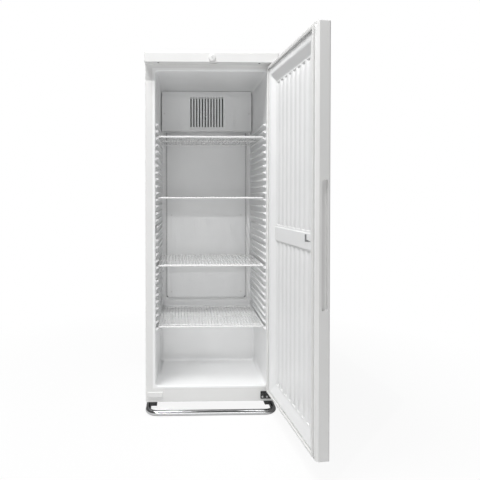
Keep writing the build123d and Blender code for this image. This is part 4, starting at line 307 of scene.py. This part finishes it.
def dipped_white():
    """A glossy white dip, with the slow lumps of a coat that ran before it set."""
    finish, tree, shader, place = new_finish("white_wire_coat", 0.26)
    mottling = spots(tree, place, size=0.03, detail=3)
    two_tones(tree, shader, mottling, (0.88, 0.88, 0.878), (0.85, 0.85, 0.848))
    patches = spots(tree, place, size=0.006, detail=3)
    uneven_gloss(tree, shader, patches, smoothest=0.2, roughest=0.34)
    lumps = spots(tree, place, size=0.0015, detail=1)
    relief(tree, shader, lumps, height=0.00005)
    return finish


coat(dipped_white(), "wire_shelf_1", "wire_shelf_2", "wire_shelf_3", "wire_shelf_4")


# The compressor: a sealed pot of two deep-drawn steel shells, welded round the middle and
# enamelled black. It stands on rubber mounts, with a plastic box over its terminals.

black_enamel = grained("black_enamel", (0.018, 0.018, 0.019), 0.28, grain=0.003)
coat(black_enamel, "compressor")
coat(grained("black_rubber", (0.02, 0.02, 0.02), 0.8), "compressor_mounts")
coat(black_plastic, "terminal_box", "evaporating_tray")


# The condenser on the back: one steel tube bent to and fro between two rows of wires, painted
# black after welding, and held off the rear sheet by four plastic clips.

wire_paint = grained("black_wire_paint", (0.016, 0.016, 0.016), 0.42)
coat(wire_paint, "condenser_tube", "condenser_wires")
coat(black_plastic, "condenser_clips")


# The pipes and the drier: drawn copper, bent on a former and brazed at the ends. The copper
# has dulled to brown in places.

def copper():
    """Drawn copper, bright in places and brown with age in others."""
    finish, tree, shader, place = new_finish("copper", 0.28, metallic=1.0)
    tarnish = spots(tree, place, size=0.02, detail=4)
    two_tones(tree, shader, tarnish, (0.74, 0.42, 0.27), (0.52, 0.29, 0.19), low=0.35, high=0.75)
    patches = spots(tree, place, size=0.012, detail=4)
    uneven_gloss(tree, shader, patches, smoothest=0.2, roughest=0.42)
    return finish


coat(copper(), "suction_pipe", "discharge_pipe", "filter_drier")


# The gland where the mains cord would leave: a black plastic bush clamped in the bent tab of
# the machine floor.

coat(black_plastic, "mains_gland")


# The hinges: the lower one is a bent bracket enamelled black, and the upper one a zinc plated
# plate under the cover. Plated pins and screws hold them, and a white moulding hides the
# spare place on the left.

steel = bare_metal("plated_steel", (0.6, 0.6, 0.61), 0.3, stretch=(1, 1, 6))
trim_white = moulded_white("white_trim", (0.79, 0.79, 0.784), (0.766, 0.766, 0.761), 0.4)
coat(black_enamel, "lower_hinge_bracket")
coat(steel, "upper_hinge_bracket", "upper_hinge_pin", "lower_hinge_pin", "hinge_screws")
coat(trim_white, "left_hinge_cover")


# The cover on the cabinet, whose front is the fascia over the door: one white moulding with a
# plain face, held by black screws from below.

coat(trim_white, "top_cover")
coat(black_enamel, "cover_screws")


# The lock in the middle of the fascia: a white ring pressed into the moulding, and the white
# barrel that the key turns, with its cam behind.

coat(trim_white, "lock_bezel", "lock_barrel")


# The door's pan: white coated steel folded round three sides to a narrow return, with moulded
# caps on its upper and lower ends, which hold the grey bushes for the hinge pins.

coat(white_coat, "door_skin")
coat(trim_white, "door_top_cap", "door_bottom_cap")
coat(grey_plastic, "door_bushes")


# The inner face of the door: a sheet drawn over a mould like the room. A dam runs round it,
# and inside it a sunken field carries upright flutes, with one plain band across the middle.
# Its sizes are millimetres on the closed door: in from the hinge edge, up from the floor and
# back from the gasket's crest. It is then swung open about the hinge pins.

HINGE_PIN = Vector((0.280, -0.306, 0))
DOOR_SWING = Matrix.Rotation(math.radians(96), 4, "Z")
HINGE_EDGE_X = 0.3
CREST_Y = -0.276


def on_open_door(inset, height, back):
    """A point of the closed door, in millimetres, moved to where the open door has it."""
    closed = Vector((HINGE_EDGE_X - inset / 1000, CREST_Y - back / 1000, height / 1000))
    return DOOR_SWING @ (closed - HINGE_PIN) + HINGE_PIN


def eased(share):
    """A smooth rise from 0 to 1."""
    share = min(max(share, 0.0), 1.0)
    return share * share * (3 - 2 * share)


def lower_of(first, second, blend):
    """The smaller of two values, with the corner between them rounded off."""
    share = min(max(0.5 + 0.5 * (second - first) / blend, 0.0), 1.0)
    return second + (first - second) * share - blend * share * (1 - share)


def soft_limits(share, blend):
    """A value kept between 0 and 1, bending gently at both ends."""
    if share <= -blend:
        return 0.0
    if share < blend:
        return (share + blend) ** 2 / (4 * blend)
    if share > 1 + blend:
        return 1.0
    if share > 1 - blend:
        return 1 - (1 + blend - share) ** 2 / (4 * blend)
    return share


DOOR_WIDTH, DOOR_FOOT, DOOR_HEAD = 600, 93, 1592

# Behind the crest: the return of the pan, the dam's top, and the field in the middle. The dam
# rises from the return over a short blend.
RETURN_BACK, DAM_BACK, FIELD_BACK = 11.8, 9.0, 24.0
DAM_INSET, DAM_BLEND = 25.2, 2.2

# Where each slope from the dam down to the field begins, and how wide it is.
HINGE_SLOPE, HINGE_SLOPE_WIDTH = 50, 42
FREE_SLOPE, FREE_SLOPE_WIDTH = 550, 35
FOOT_SLOPE, FOOT_SLOPE_WIDTH = 121, 44
HEAD_SLOPE, HEAD_SLOPE_WIDTH = 1538, 38
SLOPE_MITRE, SLOPE_BEND = 0.12, 0.1

# The plain band, and how far it stands out of the field.
BAND_FOOT, BAND_HEAD, BAND_RISE, BAND_EDGE = 806, 865, 3.0, 3

# The flutes are shallow troughs, a little deeper near their ends. Each runs in two lengths, one
# below the band and one above it.
FLUTE_FIRST, FLUTE_PITCH, FLUTE_COUNT = 118, 52.7, 8
FLUTES = [FLUTE_FIRST + FLUTE_PITCH * number for number in range(FLUTE_COUNT)]
FLUTE_SPANS = ((172, 803), (872, 1494))
FLUTE_HALF, FLUTE_SINK, FLUTE_END = 18.0, 2.0, 2.6
END_SINK, END_REACH = 3.0, 15.0


def flute_depth(inset, height):
    """How far the flutes sink at a place of the field."""
    across = min(abs(inset - middle) for middle in FLUTES)
    for foot, head in FLUTE_SPANS:
        from_end = min(height - foot, head - height)
        if from_end > 0 and across < FLUTE_HALF:
            sink = FLUTE_SINK + END_SINK * (1 - eased(from_end / END_REACH))
            return sink * (1 - (across / FLUTE_HALF) ** 2) * eased(from_end / FLUTE_END)
    return 0.0


def liner_back(inset, height):
    """How far back the door's inner face lies."""
    edge = min(inset, DOOR_WIDTH - inset, height - DOOR_FOOT, DOOR_HEAD - height)
    dam = RETURN_BACK + (DAM_BACK - RETURN_BACK) * eased((edge - DAM_INSET) / DAM_BLEND)
    hinge_side = (inset - HINGE_SLOPE) / HINGE_SLOPE_WIDTH
    free_side = (FREE_SLOPE - inset) / FREE_SLOPE_WIDTH
    slope = lower_of(hinge_side, free_side, SLOPE_MITRE)
    slope = lower_of(slope, (height - FOOT_SLOPE) / FOOT_SLOPE_WIDTH, SLOPE_MITRE)
    slope = lower_of(slope, (HEAD_SLOPE - height) / HEAD_SLOPE_WIDTH, SLOPE_MITRE)
    sunk = soft_limits(slope, SLOPE_BEND)
    from_foot = (height - BAND_FOOT) / BAND_EDGE + 0.5
    from_head = (BAND_HEAD - height) / BAND_EDGE + 0.5
    band = eased(from_foot) * eased(from_head)
    face = min(dam + sunk * (FIELD_BACK - DAM_BACK), FIELD_BACK - BAND_RISE * band)
    level = eased((sunk - 1 + SLOPE_BEND) / SLOPE_BEND)
    return face + flute_depth(inset, height) * level


def steps(*stretches):
    """Grid lines over stretches given as (start, end, spacing), without repeats."""
    lines = []
    for start, end, spacing in stretches:
        count = max(1, round((end - start) / spacing))
        lines += [start + (end - start) * number / count for number in range(count)]
    return lines + [stretches[-1][1]]


def new_piece(name, points, faces, finish):
    """A piece made of points and faces, placed in the scene with its finish."""
    mesh = bpy.data.meshes.new(name)
    mesh.from_pydata(points, [], faces)
    mesh.materials.append(finish)
    piece = bpy.data.objects.new(name, mesh)
    bpy.context.scene.collection.objects.link(piece)
    return piece


# The sheet's grid, with its lines closer together wherever the sheet bends.
across_lines = steps(
    (12, 24, 6), (24, 29, 0.8), (29, 45, 8), (45, 98, 3), (98, 507, 2.635),
    (507, 555, 3), (555, 571, 8), (571, 576, 0.8), (576, 588, 6),
)
up_lines = steps(
    (105, 117, 6), (117, 122, 0.8), (122, 160, 3), (160, 170, 2), (170, 178, 0.75),
    (178, 794, 30.8), (794, 809, 0.75), (809, 860, 12), (860, 868, 1), (868, 878, 0.75),
    (878, 1488, 30.5), (1488, 1502, 0.75), (1502, 1545, 3), (1545, 1563, 9),
    (1563, 1568, 0.8), (1568, 1580, 6),
)
liner_points = []
for height in up_lines:
    for inset in across_lines:
        liner_points.append(on_open_door(inset, height, liner_back(inset, height)))
row = len(across_lines)
liner_faces = []
for upper in range(1, len(up_lines)):
    for right in range(1, row):
        corner = upper * row + right
        liner_faces.append((corner - row - 1, corner - row, corner, corner - 1))
white_sheet = drawn_sheet("white_polystyrene")[0]
door_inner_face = new_piece("door_inner_face", liner_points, liner_faces, white_sheet)
for face in door_inner_face.data.polygons:
    face.use_smooth = True
wall = door_inner_face.modifiers.new("sheet", "SOLIDIFY")
wall.thickness = 0.002
wall.offset = 1.0
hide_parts("door_liner")
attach(door_inner_face, "door")


# The gasket round the door's inner face: soft white vinyl, extruded as a foot, a thin waist
# and a hollow bulb with a magnet strip in it, and welded at its mitred corners.

def soft_vinyl():
    """White vinyl, duller and a little yellower than the sheet beside it."""
    finish, tree, shader, place = new_finish("white_vinyl", 0.55)
    mottling = spots(tree, place, size=0.03, detail=3)
    two_tones(tree, shader, mottling, (0.8, 0.8, 0.79), (0.76, 0.76, 0.748))
    patches = spots(tree, place, size=0.01, detail=3)
    uneven_gloss(tree, shader, patches, smoothest=0.48, roughest=0.64)
    grain = spots(tree, place, size=0.0008, detail=1)
    relief(tree, shader, grain, height=0.00003)
    return finish


# The strip's section: in from the door's edge and back from the crest, in millimetres.
GASKET_SECTION = [
    (15.2, 11.0), (15.2, 10.0), (16.3, 9.0), (16.4, 7.6), (14.6, 6.7), (14.1, 5.8),
    (14.0, 2.0), (14.3, 0.9), (15.2, 0.2), (16.6, 0.0), (17.2, 0.35), (19.8, 0.35),
    (20.4, 0.0), (21.8, 0.2), (22.7, 0.9), (23.0, 2.0), (22.9, 5.8), (22.4, 6.7),
    (20.6, 7.6), (20.7, 9.0), (21.8, 10.0), (21.8, 11.0),
]
DOOR_CORNERS = ((0, 0), (1, 0), (1, 1), (0, 1))
gasket_points = []
for inset, back in GASKET_SECTION:
    for side, end in DOOR_CORNERS:
        across = DOOR_WIDTH - inset if side else inset
        up = DOOR_HEAD - inset if end else DOOR_FOOT + inset
        gasket_points.append(on_open_door(across, up, back))
gasket_faces = []
for number in range(len(GASKET_SECTION)):
    here = number * 4
    following = (number + 1) % len(GASKET_SECTION) * 4
    for corner in range(4):
        turn = (corner + 1) % 4
        gasket_faces.append((here + corner, here + turn, following + turn, following + corner))
gasket_strip = new_piece("gasket_strip", gasket_points, gasket_faces, soft_vinyl())
gasket_mesh = gasket_strip.data
for face in gasket_mesh.polygons:
    face.use_smooth = True

# The edges across the strip are its welded mitres, and they stay sharp.
for edge in gasket_mesh.edges:
    one, two = edge.vertices
    edge.use_edge_sharp = one // 4 != two // 4
outward = bmesh.new()
outward.from_mesh(gasket_mesh)
bmesh.ops.recalc_face_normals(outward, faces=outward.faces)
outward.to_mesh(gasket_mesh)
outward.free()
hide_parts("door_gasket")
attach(gasket_strip, "door")


# The grip in the door's free edge: a white moulded cup, pushed into a slot in the pan, deep
# enough for the fingers.

coat(trim_white, "grip_cup")


# The small clip on the door's plain band: dark grey plastic, stuck on flat, with a short post
# that stands out from it.

coat(dark_grey, "bottle_clip")


# The foot bar: thin steel tube, bent to a U and chromed, which lies on the floor under the
# front. Black steel blocks and bolts tie it to the cabinet, and plugs close its rear ends.

def chrome():
    """Bright plating over a tube, with drawing lines along it and a few duller patches."""
    finish, tree, shader, place = new_finish("chrome", 0.08, metallic=1.0)
    mottling = spots(tree, place, size=0.02, detail=3)
    two_tones(tree, shader, mottling, (0.57, 0.575, 0.58), (0.53, 0.535, 0.54))
    patches = spots(tree, place, size=0.01, detail=4)
    uneven_gloss(tree, shader, patches, smoothest=0.05, roughest=0.16)
    lines = spots(tree, place, size=0.004, detail=2, stretch=(6, 1, 1))
    relief(tree, shader, lines, height=0.000006)
    return finish


coat(chrome(), "foot_bar")
coat(black_enamel, "foot_bar_brackets")
coat(steel, "foot_bar_bolts")
coat(black_plastic, "foot_bar_plugs")


# The rear rollers: hard black plastic on riveted steel axles, between the cheeks of folded
# zinc coated brackets under the machine floor.

coat(black_plastic, "rear_roller_left", "rear_roller_right")
coat(zinc_sheet, "roller_brackets")
coat(steel, "roller_axles")


# The studio floor: matt white paper. Near the object it takes the light and the object's
# shadow, and further out it goes over into plain white, so that no horizon shows.

FLOOR_HALF = 12.0
FLOOR_CORNERS = ((-1, -1), (1, -1), (1, 1), (-1, 1))
SHADOW_REACH = 0.6
PLAIN_REACH = 1.9
SHADOWED_WHITE = 0.92


def seen_directly(tree):
    """1 for rays from the camera, also through glass, and 0 for rays of light and mirrors."""
    ray = tree.nodes.new("ShaderNodeLightPath").outputs
    return combined(tree, "MAXIMUM", ray["Is Camera Ray"], ray["Is Transmission Ray"])


def white_paper():
    """Paper that is mostly plain white to the camera, and lit paper to all else."""
    finish = bpy.data.materials.new("studio_white")
    finish.use_nodes = True
    tree = finish.node_tree
    tree.nodes.clear()
    out = tree.nodes.new("ShaderNodeOutputMaterial")
    paper = tree.nodes.new("ShaderNodeBsdfDiffuse")
    paper.inputs["Color"].default_value = (0.9, 0.9, 0.9, 1)
    white = tree.nodes.new("ShaderNodeEmission")
    white.inputs["Strength"].default_value = 1.0
    place = tree.nodes.new("ShaderNodeTexCoord")
    away = tree.nodes.new("ShaderNodeVectorMath")
    away.operation = "LENGTH"
    tree.links.new(place.outputs["Object"], away.inputs[0])
    own_white = tree.nodes.new("ShaderNodeMapRange")
    own_white.inputs["From Min"].default_value = SHADOW_REACH
    own_white.inputs["From Max"].default_value = PLAIN_REACH
    own_white.inputs["To Min"].default_value = SHADOWED_WHITE
    own_white.inputs["To Max"].default_value = 1.0
    tree.links.new(away.outputs["Value"], own_white.inputs["Value"])
    share = combined(tree, "MULTIPLY", seen_directly(tree), own_white.outputs["Result"])
    mix = tree.nodes.new("ShaderNodeMixShader")
    tree.links.new(share, mix.inputs["Fac"])
    tree.links.new(paper.outputs[0], mix.inputs[1])
    tree.links.new(white.outputs[0], mix.inputs[2])
    tree.links.new(mix.outputs[0], out.inputs["Surface"])
    return finish


floor_points = [(x * FLOOR_HALF, y * FLOOR_HALF, 0) for x, y in FLOOR_CORNERS]
studio_floor = new_piece("studio_floor", floor_points, [(0, 1, 2, 3)], white_paper())


# The studio's air: an even, weak white light from all round the object. The camera itself sees
# plain white behind it.

AIR_LEVEL = 0.16


def studio_air():
    """A world that shines weakly and shows as plain white."""
    world = bpy.data.worlds.new("studio")
    world.use_nodes = True
    tree = world.node_tree
    air = tree.nodes["Background"]
    air.inputs["Color"].default_value = (1, 1, 1, 1)
    level = tree.nodes.new("ShaderNodeMapRange")
    level.inputs["To Min"].default_value = AIR_LEVEL
    level.inputs["To Max"].default_value = 1.0
    tree.links.new(seen_directly(tree), level.inputs["Value"])
    tree.links.new(level.outputs["Result"], air.inputs["Strength"])
    return world


bpy.context.scene.world = studio_air()


# The lamps: a small bare one high in front, which throws the shelves' fine shadows, a broad
# soft box high on the left for the door, and a wide low one in front that fills the room.

def soft_light(name, place, aim, width, height, watts):
    """A lamp that shines from its own rectangle towards a point."""
    lamp = bpy.data.lights.new(name, "AREA")
    lamp.shape = "RECTANGLE"
    lamp.size = width
    lamp.size_y = height
    lamp.energy = watts
    holder = bpy.data.objects.new(name, lamp)
    holder.location = place
    beam = Vector(aim) - Vector(place)
    holder.rotation_euler = beam.to_track_quat("-Z", "Y").to_euler()
    bpy.context.scene.collection.objects.link(holder)


soft_light("key", (-0.3, -1.7, 3.4), (0.1, -0.2, 0.9), width=0.02, height=0.02, watts=29)
soft_light("left_box", (-1.2, -1.3, 4.6), (0.2, -0.6, 1.0), width=1.2, height=1.2, watts=126)
soft_light("low_box", (-0.3, -5.0, 0.6), (0.0, 0.0, 0.9), width=3.0, height=1.0, watts=34)


# The camera stands two and a half metres off, a metre up and a little to the left. Its lens
# and shift are the photograph's.

VIEWPOINT = (-0.1312, -2.5606, 1.0007)
LENS_MM = 37.54
SENSOR_MM = 36
TURN_TO_RIGHT = math.radians(1.67)
TILT_DOWN = math.radians(0.80)
FRAME_SHIFT = (0.0893, -0.0779)

camera_data = bpy.data.cameras.new("camera")
camera_data.sensor_width = SENSOR_MM
camera_data.lens = LENS_MM
camera_data.shift_x, camera_data.shift_y = FRAME_SHIFT
camera_data.clip_end = 60
camera = bpy.data.objects.new("camera", camera_data)
camera.location = VIEWPOINT
camera.rotation_euler = (math.pi / 2 - TILT_DOWN, 0, -TURN_TO_RIGHT)
bpy.context.scene.collection.objects.link(camera)
bpy.context.scene.camera = camera

bpy.context.scene.view_settings.view_transform = "Standard"
